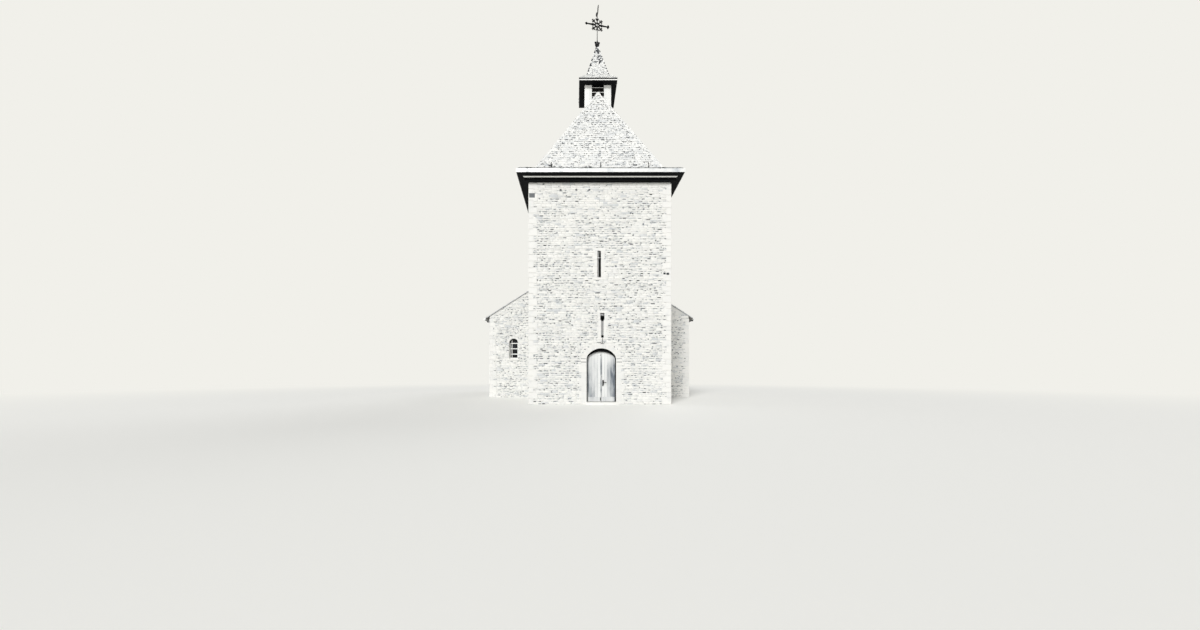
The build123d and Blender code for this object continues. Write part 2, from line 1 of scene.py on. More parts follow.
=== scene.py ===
import json
import math
import bpy
import numpy as np
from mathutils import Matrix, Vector


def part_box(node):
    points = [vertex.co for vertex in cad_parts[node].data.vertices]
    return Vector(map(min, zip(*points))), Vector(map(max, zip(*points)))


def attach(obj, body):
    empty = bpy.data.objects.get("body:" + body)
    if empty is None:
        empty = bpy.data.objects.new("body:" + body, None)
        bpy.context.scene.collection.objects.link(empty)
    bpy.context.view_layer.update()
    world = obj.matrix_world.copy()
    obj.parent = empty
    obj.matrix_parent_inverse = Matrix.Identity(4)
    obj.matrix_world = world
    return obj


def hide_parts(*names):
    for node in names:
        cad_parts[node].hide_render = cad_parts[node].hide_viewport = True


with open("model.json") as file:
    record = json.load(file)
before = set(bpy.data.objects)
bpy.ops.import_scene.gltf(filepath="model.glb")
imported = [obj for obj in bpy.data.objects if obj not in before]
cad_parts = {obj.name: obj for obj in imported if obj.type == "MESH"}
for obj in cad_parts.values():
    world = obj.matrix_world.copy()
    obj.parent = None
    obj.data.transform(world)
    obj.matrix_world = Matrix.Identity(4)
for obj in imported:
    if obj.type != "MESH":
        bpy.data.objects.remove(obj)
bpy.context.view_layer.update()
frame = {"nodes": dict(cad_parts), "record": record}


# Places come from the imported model, in metres: a node's lowest and highest corner.
def corners(node):
    low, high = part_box(node)
    return np.array(low), np.array(high)


wallLow, wallHigh = corners("tower_front_upper")
towerLeft, towerRight, towerFront = wallLow[0], wallHigh[0], wallLow[1]
towerBack = corners("tower_back_upper")[1][1]
towerX, towerY = (towerLeft + towerRight) / 2, (towerFront + towerBack) / 2
towerWide, towerDeep = towerRight - towerLeft, towerBack - towerFront
wallTop = corners("tower_cornice")[0][2]
roofLow, roofHigh = corners("tower_roof_front")
flareFoot = corners("tower_roof_flare")[0][2]
gutterFoot = corners("tower_gutter")[0][2]
turretLow, turretHigh = corners("turret_posts")
turretX, turretHalf = (turretLow[0] + turretHigh[0]) / 2, (turretHigh[0] - turretLow[0]) / 2
eavesLow, eavesHigh = corners("turret_eaves")
eavesHalf = (eavesHigh[0] - eavesLow[0]) / 2
spireLow, spireHigh = corners("turret_spire")
ballTop = corners("spire_ball")[1][2]
cockTop = corners("weathercock")[1][2]
naveLow, naveHigh = corners("nave_east_wall")
naveWest = corners("nave_west_wall")[0][1]
naveWide, naveLong = naveHigh[0] - naveLow[0], naveHigh[1] - naveWest
naveRoofLow, naveRoofHigh = corners("nave_roof_left")
frameLow, frameHigh = corners("door_frame")
doorX = (frameLow[0] + frameHigh[0]) / 2
archFoot = corners("door_jambs")[1][2]
leafLow = corners("door_leaf_left")[0]
print("places read from the model")


# A colour is given as it shows on screen, in parts of 255.
def paint(colour):
    parts = [value / 255 for value in colour]
    return [part / 12.92 if part < 0.04045 else ((part + 0.055) / 1.055) ** 2.4 for part in parts] + [1]


# A source is another node's output, a colour or a plain value.
def feed(tree, source, socket):
    if isinstance(source, bpy.types.NodeSocket):
        tree.links.new(source, socket)
    elif socket.type == "RGBA":
        socket.default_value = paint(source)
    else:
        socket.default_value = source


# The sources are a list for the first sockets, or go by the sockets' labels.
def addNode(tree, kind, sources=(), **settings):
    node = tree.nodes.new(kind)
    for name, value in settings.items():
        setattr(node, name, value)
    for label, source in (sources.items() if isinstance(sources, dict) else enumerate(sources)):
        feed(tree, source, node.inputs[label])
    return node


def compute(tree, operation, first, second=0.0, clamp=False):
    return addNode(tree, "ShaderNodeMath", (first, second), operation=operation, use_clamp=clamp).outputs[0]


def times(tree, first, second, clamp=False):
    return compute(tree, "MULTIPLY", first, second, clamp)


def computeVector(tree, operation, *sources):
    return addNode(tree, "ShaderNodeVectorMath", sources, operation=operation).outputs[0]


def mixColour(tree, mask, first, second):
    return addNode(tree, "ShaderNodeMix", {0: mask, 6: first, 7: second}, data_type="RGBA").outputs[2]


def laidOver(tree, below, mask, amount, colour):
    return mixColour(tree, times(tree, mask, amount), below, colour)


# Runs smoothly from the first value to the last while the source goes from low to high.
def between(tree, source, low, high, first=0.0, last=1.0):
    sources = (source, low, high, first, last)
    return addNode(tree, "ShaderNodeMapRange", sources, interpolation_type="SMOOTHSTEP").outputs[0]


def placeOf(tree):
    return addNode(tree, "ShaderNodeTexCoord").outputs["Object"]


# The number that each stone, slate or board carries.
def ownTint(tree):
    return addNode(tree, "ShaderNodeAttribute", attribute_name="tint").outputs["Fac"]


def noise(tree, vector, scale, detail=2.0, roughness=0.55):
    sources = {"Vector": vector, "Scale": scale, "Detail": detail, "Roughness": roughness}
    return addNode(tree, "ShaderNodeTexNoise", sources).outputs


def newGroup(name, made, **inputs):
    tree = bpy.data.node_groups.new(name, "ShaderNodeTree")
    for label, value in inputs.items():
        kind = "NodeSocketVector" if isinstance(value, tuple) else "NodeSocketFloat"
        tree.interface.new_socket(label, in_out="INPUT", socket_type=kind).default_value = value
    tree.interface.new_socket(made, in_out="OUTPUT", socket_type="NodeSocketFloat")
    return tree, tree.nodes.new("NodeGroupInput").outputs


def closeGroup(tree, value):
    addNode(tree, "NodeGroupOutput", [value])
    return tree


# Soft patches of a size in metres. The mask rises from 0 to 1 between two levels of the noise.
def makePatches():
    tree, given = newGroup("patches", "mask", size=0.5, stretch=(1.0, 1.0, 1.0), low=0.45, high=0.65)
    vector = computeVector(tree, "MULTIPLY", placeOf(tree), given["stretch"])
    cloud = noise(tree, vector, compute(tree, "DIVIDE", 1.0, given["size"]), 5.0, 0.6)["Fac"]
    return closeGroup(tree, between(tree, cloud, given["low"], given["high"]))


# Surface relief, coarse and fine together.
def makeGrain():
    tree, given = newGroup("grain", "height", size=0.01, stretch=(1.0, 1.0, 1.0))
    vector = computeVector(tree, "MULTIPLY", placeOf(tree), given["stretch"])
    scale = compute(tree, "DIVIDE", 1.0, given["size"])
    coarse = noise(tree, vector, scale, 3.0)["Fac"]
    fine = noise(tree, vector, times(tree, scale, 4.3))["Fac"]
    return closeGroup(tree, compute(tree, "ADD", coarse, times(tree, fine, 0.35)))


# Small round spots in a share of the cells, bent a little by a noise.
def makeSpecks():
    tree, given = newGroup("specks", "mask", size=0.05, share=0.1, radius=0.3)
    cloud = noise(tree, placeOf(tree), compute(tree, "DIVIDE", 3.0, given["size"]), 2.0, 0.5)
    bent = computeVector(tree, "MULTIPLY_ADD", cloud["Color"], given["size"], placeOf(tree))
    scale = compute(tree, "DIVIDE", 1.0, given["size"])
    cells = addNode(tree, "ShaderNodeTexVoronoi", {"Vector": bent, "Scale": scale}).outputs
    red = addNode(tree, "ShaderNodeSeparateColor", [cells["Color"]]).outputs[0]
    chosen = compute(tree, "LESS_THAN", red, given["share"])
    inner = between(tree, cells["Distance"], given["radius"], times(tree, given["radius"], 0.6))
    return closeGroup(tree, times(tree, chosen, inner))


# 1 on faces that look down.
def makeUnderside():
    tree, given = newGroup("underside", "mask", slope=-0.5)
    normal = addNode(tree, "ShaderNodeNewGeometry").outputs["True Normal"]
    up = addNode(tree, "ShaderNodeSeparateXYZ", [normal]).outputs[2]
    return closeGroup(tree, compute(tree, "LESS_THAN", up, given["slope"]))


# 1 inside an upright box given by its middle and half sizes.
def makeInside():
    tree, given = newGroup("inside", "mask", middle=(0.0, 0.0, 0.0), half=(1.0, 1.0, 1.0))
    away = computeVector(tree, "SUBTRACT", placeOf(tree), given["middle"])
    past = computeVector(tree, "SUBTRACT", computeVector(tree, "ABSOLUTE", away), given["half"])
    x, y, z = addNode(tree, "ShaderNodeSeparateXYZ", [past]).outputs
    most = compute(tree, "MAXIMUM", compute(tree, "MAXIMUM", x, y), z)
    return closeGroup(tree, compute(tree, "LESS_THAN", most, 0.0))


groups = {"patches": makePatches(), "grain": makeGrain(), "specks": makeSpecks(),
          "underside": makeUnderside(), "inside": makeInside()}


def useGroup(tree, name, **sources):
    return addNode(tree, "ShaderNodeGroup", sources, node_tree=groups[name]).outputs[0]


def newMaterial(name, roughness, specular=0.5, metallic=0.0):
    material = bpy.data.materials.new(name)
    material.use_nodes = True
    inputs = material.node_tree.nodes["Principled BSDF"].inputs
    inputs["Roughness"].default_value = roughness
    inputs["Specular IOR Level"].default_value = specular
    inputs["Metallic"].default_value = metallic
    return material, material.node_tree


# Adds the colour, the roughness where it changes, and a grain of the given depth.
def finish(material, colour, depth=0.0, roughness=None, height=None, **grain):
    tree = material.node_tree
    inputs = tree.nodes["Principled BSDF"].inputs
    feed(tree, colour, inputs["Base Color"])
    if roughness:
        feed(tree, roughness, inputs["Roughness"])
    if depth:
        sources = {"Distance": depth, "Height": height or useGroup(tree, "grain", **grain)}
        feed(tree, addNode(tree, "ShaderNodeBump", sources).outputs[0], inputs["Normal"])
    return material


print("shader groups built")

stoneLook = {"pale": (241, 240, 236), "cool": (205, 208, 210), "dark": (96, 104, 114)}


def makeRubble():
    material, tree = newMaterial("rubbleStone", 0.9)
    colour = mixColour(tree, ownTint(tree), stoneLook["pale"], stoneLook["cool"])
    stain = useGroup(tree, "patches", size=0.22, low=0.56, high=0.78)
    colour = laidOver(tree, colour, stain, 0.45, stoneLook["cool"])
    spots = useGroup(tree, "specks", size=0.11, share=0.09, radius=0.24)
    colour = laidOver(tree, colour, spots, 0.7, stoneLook["dark"])
    return finish(material, colour, 0.006, size=0.03)


# Wear in patches, with each piece's own tint added.
def ownWear(tree, patches, amount, tintAmount):
    return compute(tree, "ADD", times(tree, patches, amount), times(tree, ownTint(tree), tintAmount), True)


dressedLook = {"pale": (237, 236, 232), "worn": (212, 214, 214)}


def makeDressed():
    material, tree = newMaterial("dressedStone", 0.85)
    worn = ownWear(tree, useGroup(tree, "patches", size=0.3, low=0.5, high=0.75), 0.4, 0.5)
    colour = mixColour(tree, worn, dressedLook["pale"], dressedLook["worn"])
    return finish(material, colour, 0.002, size=0.012)


mortarLook = {"pale": (226, 226, 222), "deep": (112, 121, 132), "plaster": (222, 220, 212),
              "damp": (150, 150, 146)}
roomLook = {"wall": 0.9, "naveWall": 0.7, "towerTop": 13.0, "naveLightTop": 6.4, "spare": 0.01}


# Mortar outside, darker in patches where it is lost and the joint lies deep, which is painted shade; plaster
# on the faces inside the tower and the nave.
def makeMortar():
    material, tree = newMaterial("mortar", 0.95)
    lost = useGroup(tree, "patches", size=0.16, stretch=(1.0, 1.0, 2.6), low=0.5, high=0.68)
    # Painted shade: the deep colour darkens the patches of lost mortar.
    outside = mixColour(tree, lost, mortarLook["pale"], mortarLook["deep"])
    damp = useGroup(tree, "patches", size=0.9, low=0.5, high=0.8)
    plaster = laidOver(tree, mortarLook["plaster"], damp, 0.3, mortarLook["damp"])
    spare, top, naveTop = roomLook["spare"], roomLook["towerTop"], roomLook["naveLightTop"]
    towerHalf = [size / 2 - roomLook["wall"] + spare for size in (towerWide, towerDeep)]
    room = useGroup(tree, "inside", middle=(towerX, towerY, 5.0), half=(*towerHalf, top - 5.0))
    naveMiddle = (towerBack + naveHigh[1] - roomLook["naveWall"]) / 2
    naveHalf = (naveHigh[0] - roomLook["naveWall"] + spare,
                (naveHigh[1] - towerBack - roomLook["naveWall"]) / 2 + spare)
    hall = useGroup(tree, "inside", middle=(0.0, naveMiddle, naveTop / 2), half=(*naveHalf, naveTop / 2))
    inside = compute(tree, "MAXIMUM", room, hall)
    return finish(material, mixColour(tree, inside, outside, plaster), 0.008, size=0.02)


slateLook = {"pale": (240, 240, 237), "cool": (206, 209, 211), "dark": (40, 44, 50)}


# A tint up to 0.8 runs from pale to cool, and the last tenth is for the few dark slates.
def makeSlate():
    material, tree = newMaterial("slate", 0.62)
    tint = ownTint(tree)
    colour = mixColour(tree, between(tree, tint, 0.0, 0.8), slateLook["pale"], slateLook["cool"])
    stain = useGroup(tree, "patches", size=0.35, low=0.52, high=0.72)
    colour = laidOver(tree, colour, stain, 0.35, slateLook["cool"])
    # Dark spots, partly moss and partly painted shade between uneven slates.
    mossAndShade = useGroup(tree, "specks", size=0.09, share=0.4, radius=0.42)
    colour = laidOver(tree, colour, mossAndShade, 0.85, slateLook["dark"])
    colour = mixColour(tree, compute(tree, "GREATER_THAN", tint, 0.9), colour, slateLook["dark"])
    return finish(material, colour, 0.0016, size=0.018, stretch=(1.0, 1.0, 2.4))


underLook = {"top": (196, 199, 201), "boards": (112, 110, 107), "paleBoards": (140, 137, 133)}


# What lies under the slates: pale battens seen through the gaps, bare boards below.
def makeUnderSlates():
    material, tree = newMaterial("underSlates", 0.85)
    boards = useGroup(tree, "patches", size=0.14, stretch=(1.0, 0.1, 1.0), low=0.4, high=0.6)
    below = mixColour(tree, boards, underLook["boards"], underLook["paleBoards"])
    colour = mixColour(tree, useGroup(tree, "underside", slope=-0.05), underLook["top"], below)
    return finish(material, colour, 0.003, size=0.03, stretch=(1.0, 0.2, 1.0))


timberLook = {"black": (12, 13, 15), "blackWorn": (30, 33, 37), "white": (246, 246, 243),
              "whiteWorn": (200, 204, 206), "shadeGap": 0.012, "shadeDeep": 1.3}


# Near-black paint. On the cornice, the soffit, the door's frame, the moulding's side runs and the turret's
# eave strips, this darkness is painted shade.
def makeBlackTimber():
    material, tree = newMaterial("blackTimberAndShade", 0.7, 0.08)
    wear = useGroup(tree, "patches", size=0.12, stretch=(0.3, 0.3, 2.0), low=0.58, high=0.8)
    colour = mixColour(tree, wear, timberLook["black"], timberLook["blackWorn"])
    return finish(material, colour, 0.0015, size=0.02, stretch=(0.4, 0.4, 3.0))


# White paint. In the shaded copy, faces that look down and the turret's inside are near black: painted shade.
def makeWhiteTimber(name, shaded):
    material, tree = newMaterial(name, 0.55, 0.06 if shaded else 0.5)
    run = useGroup(tree, "patches", size=0.1, stretch=(1.0, 1.0, 0.16), low=0.52, high=0.78)
    worn = ownWear(tree, run, 0.45, 0.4)
    colour = mixColour(tree, worn, timberLook["white"], timberLook["whiteWorn"])
    if shaded:
        core = turretHalf - timberLook["shadeGap"]
        inside = useGroup(tree, "inside", middle=(turretX, towerY, turretHigh[2] - 1.0),
                          half=(core, core, timberLook["shadeDeep"]))
        # Painted shade: near black below and inside the turret.
        dark = compute(tree, "MAXIMUM", useGroup(tree, "underside"), inside)
        colour = mixColour(tree, dark, colour, timberLook["black"])
    return finish(material, colour, 0.0012, size=0.012, stretch=(1.0, 1.0, 0.15))


# The under colour is painted shade for the faces that look down.
zincLook = {"clean": (236, 237, 236), "dull": (186, 191, 196), "under": (16, 18, 20)}


def makeZinc():
    material, tree = newMaterial("zinc", 0.42, metallic=0.15)
    dull = useGroup(tree, "patches", size=0.4, stretch=(1.0, 1.0, 0.5), low=0.45, high=0.75)
    colour = mixColour(tree, dull, zincLook["clean"], zincLook["dull"])
    # Painted shade: the faces that look down are near black.
    colour = mixColour(tree, useGroup(tree, "underside"), colour, zincLook["under"])
    return finish(material, colour, 0.002, between(tree, dull, 0.0, 1.0, 0.34, 0.6), size=0.2)


ironLook = {"black": (14, 15, 17), "worn": (44, 45, 48), "lead": (12, 13, 15), "leadDull": (34, 36, 40)}


def makeIron():
    material, tree = newMaterial("wroughtIron", 0.6, 0.15)
    worn = useGroup(tree, "patches", size=0.05, low=0.5, high=0.75)
    return finish(material, mixColour(tree, worn, ironLook["black"], ironLook["worn"]), 0.0008, size=0.006)


def makeLead():
    material, tree = newMaterial("leadBall", 0.3, 0.3)
    dull = useGroup(tree, "patches", size=0.08, low=0.45, high=0.7)
    colour = mixColour(tree, dull, ironLook["lead"], ironLook["leadDull"])
    return finish(material, colour, roughness=between(tree, dull, 0.0, 1.0, 0.2, 0.45))


glassLook = {"dark": (12, 14, 17), "dusty": (40, 45, 51)}


def makeGlass():
    material, tree = newMaterial("windowGlass", 0.12, 0.3)
    dust = useGroup(tree, "patches", size=0.25, low=0.5, high=0.8)
    colour = mixColour(tree, dust, glassLook["dark"], glassLook["dusty"])
    return finish(material, colour, 0.0015, between(tree, dust, 0.0, 1.0, 0.08, 0.35), size=0.12)


floorLook = {"pale": (196, 195, 190), "dark": (150, 150, 147), "joint": (92, 94, 96), "flag": 0.5,
             "gap": 0.008}


def makeFloorStone():
    material, tree = newMaterial("floorStone", 0.7)
    sources = {"Vector": placeOf(tree), "Color1": floorLook["pale"], "Color2": floorLook["dark"],
               "Mortar": floorLook["joint"], "Scale": 1.0, "Mortar Size": floorLook["gap"],
               "Brick Width": floorLook["flag"], "Row Height": floorLook["flag"]}
    flags = addNode(tree, "ShaderNodeTexBrick", sources, offset=0.5).outputs
    height = compute(tree, "SUBTRACT", useGroup(tree, "grain", size=0.05), flags["Fac"])
    return finish(material, flags["Color"], 0.004, height=height)


doorWoodLook = {"pale": (236, 237, 235), "grey": (124, 132, 141), "dark": (60, 67, 77)}


# Weathered boards: each board's own tint, darker runs down the grain and paler wood under the arch.
def makeDoorWood():
    material, tree = newMaterial("doorWood", 0.75)
    tint = ownTint(tree)
    run = useGroup(tree, "patches", size=0.03, stretch=(1.0, 1.0, 0.035), low=0.34, high=0.7)
    broad = useGroup(tree, "patches", size=0.45, stretch=(1.5, 1.0, 0.35), low=0.34, high=0.7)
    height = addNode(tree, "ShaderNodeSeparateXYZ", [placeOf(tree)]).outputs[2]
    belowHead = between(tree, height, 2.3, 1.5, 0.55, 1.0)
    amount = times(tree, tint, compute(tree, "ADD", 0.35, times(tree, run, 0.5)))
    amount = times(tree, compute(tree, "ADD", amount, times(tree, tint, broad)), belowHead)
    colour = mixColour(tree, times(tree, amount, 1.1, True), doorWoodLook["pale"], doorWoodLook["grey"])
    deep = times(tree, compute(tree, "SUBTRACT", amount, 0.75, True), 1.3, True)
    colour = mixColour(tree, deep, colour, doorWoodLook["dark"])
    stain = useGroup(tree, "specks", size=0.06, share=0.06, radius=0.3)
    colour = laidOver(tree, colour, stain, 0.4, doorWoodLook["dark"])
    return finish(material, colour, 0.0016, size=0.012, stretch=(1.0, 1.0, 0.06))


holeShadeLook = {"faint": (196, 200, 202), "deep": (30, 35, 42)}


# Painted shade in open joints, holes and gaps, darker with the tint.
def makeHoleShade():
    material, tree = newMaterial("holeShadeFinish", 1.0, 0.05)
    return finish(material, mixColour(tree, ownTint(tree), holeShadeLook["faint"], holeShadeLook["deep"]))


rubbleStone, dressedStone, mortar, slate = makeRubble(), makeDressed(), makeMortar(), makeSlate()
whiteTimberWithShade, whiteBead = makeWhiteTimber("whiteTimberWithShade", True), makeWhiteTimber("whiteBead", False)
blackTimberAndShade, doorWood, zinc, wroughtIron = makeBlackTimber(), makeDoorWood(), makeZinc(), makeIron()
holeShade = makeHoleShade()
slotFinish = {"rubble_stone": mortar, "dressed_stone": dressedStone, "floor_stone": makeFloorStone(),
              "slate": makeUnderSlates(), "dark_timber": blackTimberAndShade, "painted_timber": whiteTimberWithShade,
              "zinc": zinc, "lead": makeLead(), "door_timber": doorWood, "wrought_iron": wroughtIron,
              "window_glass": makeGlass()}
for subpart in frame["record"]["subparts"]:
    mesh = frame["nodes"][subpart["node"]].data
    mesh.materials.clear()
    mesh.materials.append(slotFinish[subpart["material_slot"]])
print("materials made")


# Shapes. A part is a row of like cells: their points, the faces of one cell, and a tint for each.
def addPiece(name, parts, material, body="building", hides=(), smooth=0):
    points, loops, sizes, tints, offset = [], [], [], [], 0
    for cells, faces, tint in parts:
        cells = np.asarray(cells, float)
        count, cornerCount = cells.shape[:2]
        if count == 0:
            continue
        pattern = np.array([index for face in faces for index in face])
        starts = offset + cornerCount * np.arange(count)
        points.append(cells.reshape(-1, 3))
        loops.append((starts[:, None] + pattern[None]).ravel())
        sizes.append(np.tile([len(face) for face in faces], count))
        own = np.ravel(tint) if np.ndim(tint) == 2 else np.repeat(np.broadcast_to(tint, count), cornerCount)
        tints.append(own)
        offset += count * cornerCount
    points, loops, sizes = np.concatenate(points), np.concatenate(loops), np.concatenate(sizes)
    mesh = bpy.data.meshes.new(name)
    mesh.vertices.add(len(points))
    mesh.vertices.foreach_set("co", points.ravel())
    mesh.loops.add(len(loops))
    mesh.loops.foreach_set("vertex_index", loops)
    mesh.polygons.add(len(sizes))
    mesh.polygons.foreach_set("loop_start", np.cumsum(sizes) - sizes)
    mesh.attributes.new("tint", "FLOAT", "POINT").data.foreach_set("value", np.concatenate(tints))
    mesh.update(calc_edges=True)
    if smooth:
        mesh.set_sharp_from_angle(angle=math.radians(smooth))
    else:
        mesh.shade_flat()
    mesh.materials.append(material)
    piece = bpy.data.objects.new(name, mesh)
    bpy.context.scene.collection.objects.link(piece)
    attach(piece, body)
    if hides:
        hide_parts(*hides)


# A face is a plane with a start point and three directions; outlines run counter-clockwise on it.
def makeFace(start, across, out):
    across, out = np.array(across, float), np.array(out, float)
    return {"start": np.array(start, float), "across": across, "up": np.cross(out, across), "out": out}


# The front, right, back and left face of an upright box.
def boxFaces(left, right, front, back):
    starts = ((left, front, 0), (right, front, 0), (right, back, 0), (left, back, 0))
    outs = ((0, -1, 0), (1, 0, 0), (0, 1, 0), (-1, 0, 0))
    return [makeFace(start, (-out[1], out[0], 0), out) for start, out in zip(starts, outs)]


def onFace(face, outlines, out):
    outlines = np.asarray(outlines, float)
    flat = outlines[..., :1] * face["across"] + outlines[..., 1:] * face["up"]
    return face["start"] + flat + np.broadcast_to(out, outlines.shape[:-1])[..., None] * face["out"]


def column(value, count):
    return np.broadcast_to(value, count)[:, None]


# The side faces between rings of corners, and a cap at both ends unless the rings close on themselves.
def tubeFaces(size, count, closed=False):
    faces = [] if closed else [tuple(reversed(range(size))), tuple(range((count - 1) * size, count * size))]
    for ring in range(count if closed else count - 1):
        start, above = ring * size, (ring + 1) % count * size
        faces += [(start + i, start + (i + 1) % size, above + (i + 1) % size, above + i) for i in range(size)]
    return faces


# Slabs with a chamfered front edge, standing proud of the face.
def slabs(face, outlines, proud, back=-0.015, chamfer=0.006, tint=0.0):
    outlines = np.asarray(outlines, float)
    count, size = outlines.shape[:2]
    edges = np.roll(outlines, -1, 1) - outlines
    inward = np.stack([-edges[..., 1], edges[..., 0]], -1) / np.linalg.norm(edges, axis=-1, keepdims=True)
    before = np.roll(inward, 1, 1)
    push = (before + inward) / (1 + (before * inward).sum(-1, keepdims=True))
    proud, chamfer = column(proud, count), column(chamfer, count)
    front = outlines + push * chamfer[..., None]
    rings = [onFace(face, outlines, column(back, count)), onFace(face, outlines, proud - chamfer)]
    return np.concatenate(rings + [onFace(face, front, proud)], 1), tubeFaces(size, 3), tint


# Thin plates with sharp edges between two depths on the face.
def plates(face, outlines, under, over, tint):
    return np.concatenate([onFace(face, outlines, under), onFace(face, outlines, over)], 1), boxPattern, tint


def rectangles(left, right, low, high):
    left, right, low, high = np.broadcast_arrays(left, right, low, high)
    return fourSided((left, low), (right, low), (right, high), (left, high)).reshape(-1, 4, 2)


def fourSided(*points):
    return np.stack([np.stack(point, -1) for point in points], -2)


def unit(vector):
    return vector / np.linalg.norm(vector)


def aroundCentre(points, indices):
    middle = points[indices].mean(0)
    first = points[indices[0]] - middle
    second = np.cross(middle, first)
    angle = [math.atan2(point @ unit(second), point @ unit(first)) for point in points[indices] - middle]
    return tuple(index for _, index in sorted(zip(angle, indices)))


# The pattern of a box with all its edges chamfered.
def blockPattern():
    signs = np.array([(x, y, z) for x in (-1, 1) for y in (-1, 1) for z in (-1, 1)], float)
    onAxis = np.tile(np.eye(3), (8, 1))
    corner = np.repeat(signs, 3, 0)
    faces = [[3 * i + axis for axis in range(3)] for i in range(8)]
    for axis in range(3):
        for side in (-1, 1):
            faces.append([3 * i + axis for i in range(8) if signs[i][axis] == side])
        first, second = (axis + 1) % 3, (axis + 2) % 3
        for a in (-1, 1):
            for b in (-1, 1):
                found = [i for i in range(8) if signs[i][first] == a and signs[i][second] == b]
                faces.append([3 * i + other for i in found for other in (first, second)])
    return corner, onAxis, [aroundCentre(corner * (0.8 + 0.2 * onAxis), face) for face in faces]


blockCorner, blockAxis, blockFaces = blockPattern()
boxPattern = [(3, 2, 1, 0), (4, 5, 6, 7), (0, 1, 5, 4), (1, 2, 6, 5), (2, 3, 7, 6), (3, 0, 4, 7)]


def blocks(lows, highs, chamfer=0.004, tint=0.0):
    lows, highs = np.atleast_2d(np.array(lows, float)), np.atleast_2d(np.array(highs, float))
    middle, half = (lows + highs)[:, None] / 2, (highs - lows)[:, None] / 2
    return middle + blockCorner * (half - chamfer * (1 - blockAxis)), blockFaces, tint


# Boxes standing on a face, given by their outline and how far out they start and end.
def faceBlocks(face, left, right, low, high, back, front, chamfer=0.003, tint=0.0):
    values = np.broadcast_arrays(*[np.atleast_1d(value) for value in (left, low, back, right, high, front)])
    cells, faces, tint = blocks(np.stack(values[:3], -1), np.stack(values[3:], -1), chamfer, tint)
    return onFace(face, cells[..., :2], cells[..., 2]), faces, tint


# The same, given by the middle and half the width.
def midBlocks(face, middle, half, low, high, back, front, chamfer=0.003, tint=0.0):
    return faceBlocks(face, middle - half, middle + half, low, high, back, front, chamfer, tint)


# The left and right end of a stretch beside a middle, on one side of it.
def spanOf(middle, side, inner, outer):
    return sorted((middle + side * inner, middle + side * outer))


# A round bar along a path, with its own radius at each point.
def bar(path, radii, sides=10, tint=0.0):
    path = np.array(path, float)
    along = np.gradient(path, axis=0)
    along /= np.linalg.norm(along, axis=1, keepdims=True)
    guide = np.array((0.31, 0.17, 0.93)) if abs(along[0][2]) < 0.8 else np.array((1.0, 0.2, 0.1))
    angle = np.arange(sides) * 2 * math.pi / sides
    rings = []
    for point, direction, radius in zip(path, along, np.broadcast_to(radii, len(path))):
        guide = unit(guide - direction * (guide @ direction))
        second = np.cross(direction, guide)
        rings.append(point + radius * (np.cos(angle)[:, None] * guide + np.sin(angle)[:, None] * second))
    return np.concatenate(rings)[None], tubeFaces(sides, len(path)), tint


def knob(middle, radius, sides=12):
    turn = np.linspace(0.12, math.pi - 0.12, 9)
    heights = np.array(middle) + np.stack([0 * turn, 0 * turn, -radius * np.cos(turn)], -1)
    return bar(heights, radius * np.sin(turn), sides)


# Turned shapes: rings of (radius, height) about an upright line, closed round when asked.
def turned(middle, profile, sides=20, closed=False):
    angle = np.arange(sides) * 2 * math.pi / sides
    rings = [np.stack([middle[0] + radius * np.cos(angle), middle[1] + radius * np.sin(angle),
                       0 * angle + height], -1) for radius, height in profile]
    return np.concatenate(rings)[None], tubeFaces(sides, len(rings), closed), 0.0


# Bars built from rings of points, with a tint for each ring.
def loft(rings, tints):
    rings = np.array(rings, float)
    count, size = rings.shape[:2]
    tint = np.repeat(np.broadcast_to(tints, count), size)[None]
    return rings.reshape(1, -1, 3), tubeFaces(size, count), tint


# Round and three-centred arches.
def makeArch(half, rise, haunch, spring):
    crown = haunch
    if haunch != half:
        crown = ((half - haunch) ** 2 + rise ** 2 - haunch ** 2) / (2 * (rise - haunch))
    meet = math.atan2(crown - rise, half - haunch) if crown > haunch else 0.0
    return {"half": half, "rise": rise, "haunch": haunch, "crown": crown, "spring": spring, "meet": meet}


def archAngle(arch, share):
    sideLength = arch["haunch"] * arch["meet"]
    middleLength = arch["crown"] * (math.pi - 2 * arch["meet"])
    lengths = [0, sideLength, sideLength + middleLength, 2 * sideLength + middleLength]
    angles = [0, arch["meet"], math.pi - arch["meet"], math.pi]
    return np.interp(np.array(share) * lengths[3], lengths, angles)


def archPoint(arch, angle, grow=0.0):
    angle = np.asarray(angle, float)
    inCrown = (angle >= arch["meet"]) & (angle <= math.pi - arch["meet"])
    middle = np.where(inCrown, 0.0, np.sign(np.cos(angle)) * (arch["half"] - arch["haunch"]))
    height = np.where(inCrown, arch["rise"] - arch["crown"], 0.0)
    radius = np.where(inCrown, arch["crown"], arch["haunch"]) + grow
    return np.stack([middle + radius * np.cos(angle), arch["spring"] + height + radius * np.sin(angle)], -1)


def archHeight(arch, across, grow=0.0):
    line = archPoint(arch, np.linspace(0, math.pi, 721), grow)
    return np.interp(across, line[::-1, 0], line[::-1, 1])


def archHalf(arch, height, grow=0.0):
    line = archPoint(arch, np.linspace(0, math.pi / 2, 361), grow)
    return float(np.interp(height, line[:, 1], line[:, 0]))


# Wedge stones in a ring round an arch.
def wedges(arch, count, grow, middle, joint=0.006, start=0.0):
    share = np.linspace(0, 1, count + 1)
    gap = joint / 2 / (math.pi * arch["half"])
    first, last = archAngle(arch, share[:-1] + gap), archAngle(arch, share[1:] - gap)
    inner = [archPoint(arch, angle, start) for angle in (last, (first + last) / 2, first)]
    outer = [archPoint(arch, angle, grow) for angle in (first, (first + last) / 2, last)]
    return np.stack(inner + outer, 1) + (middle, 0)


print("shape tools ready")

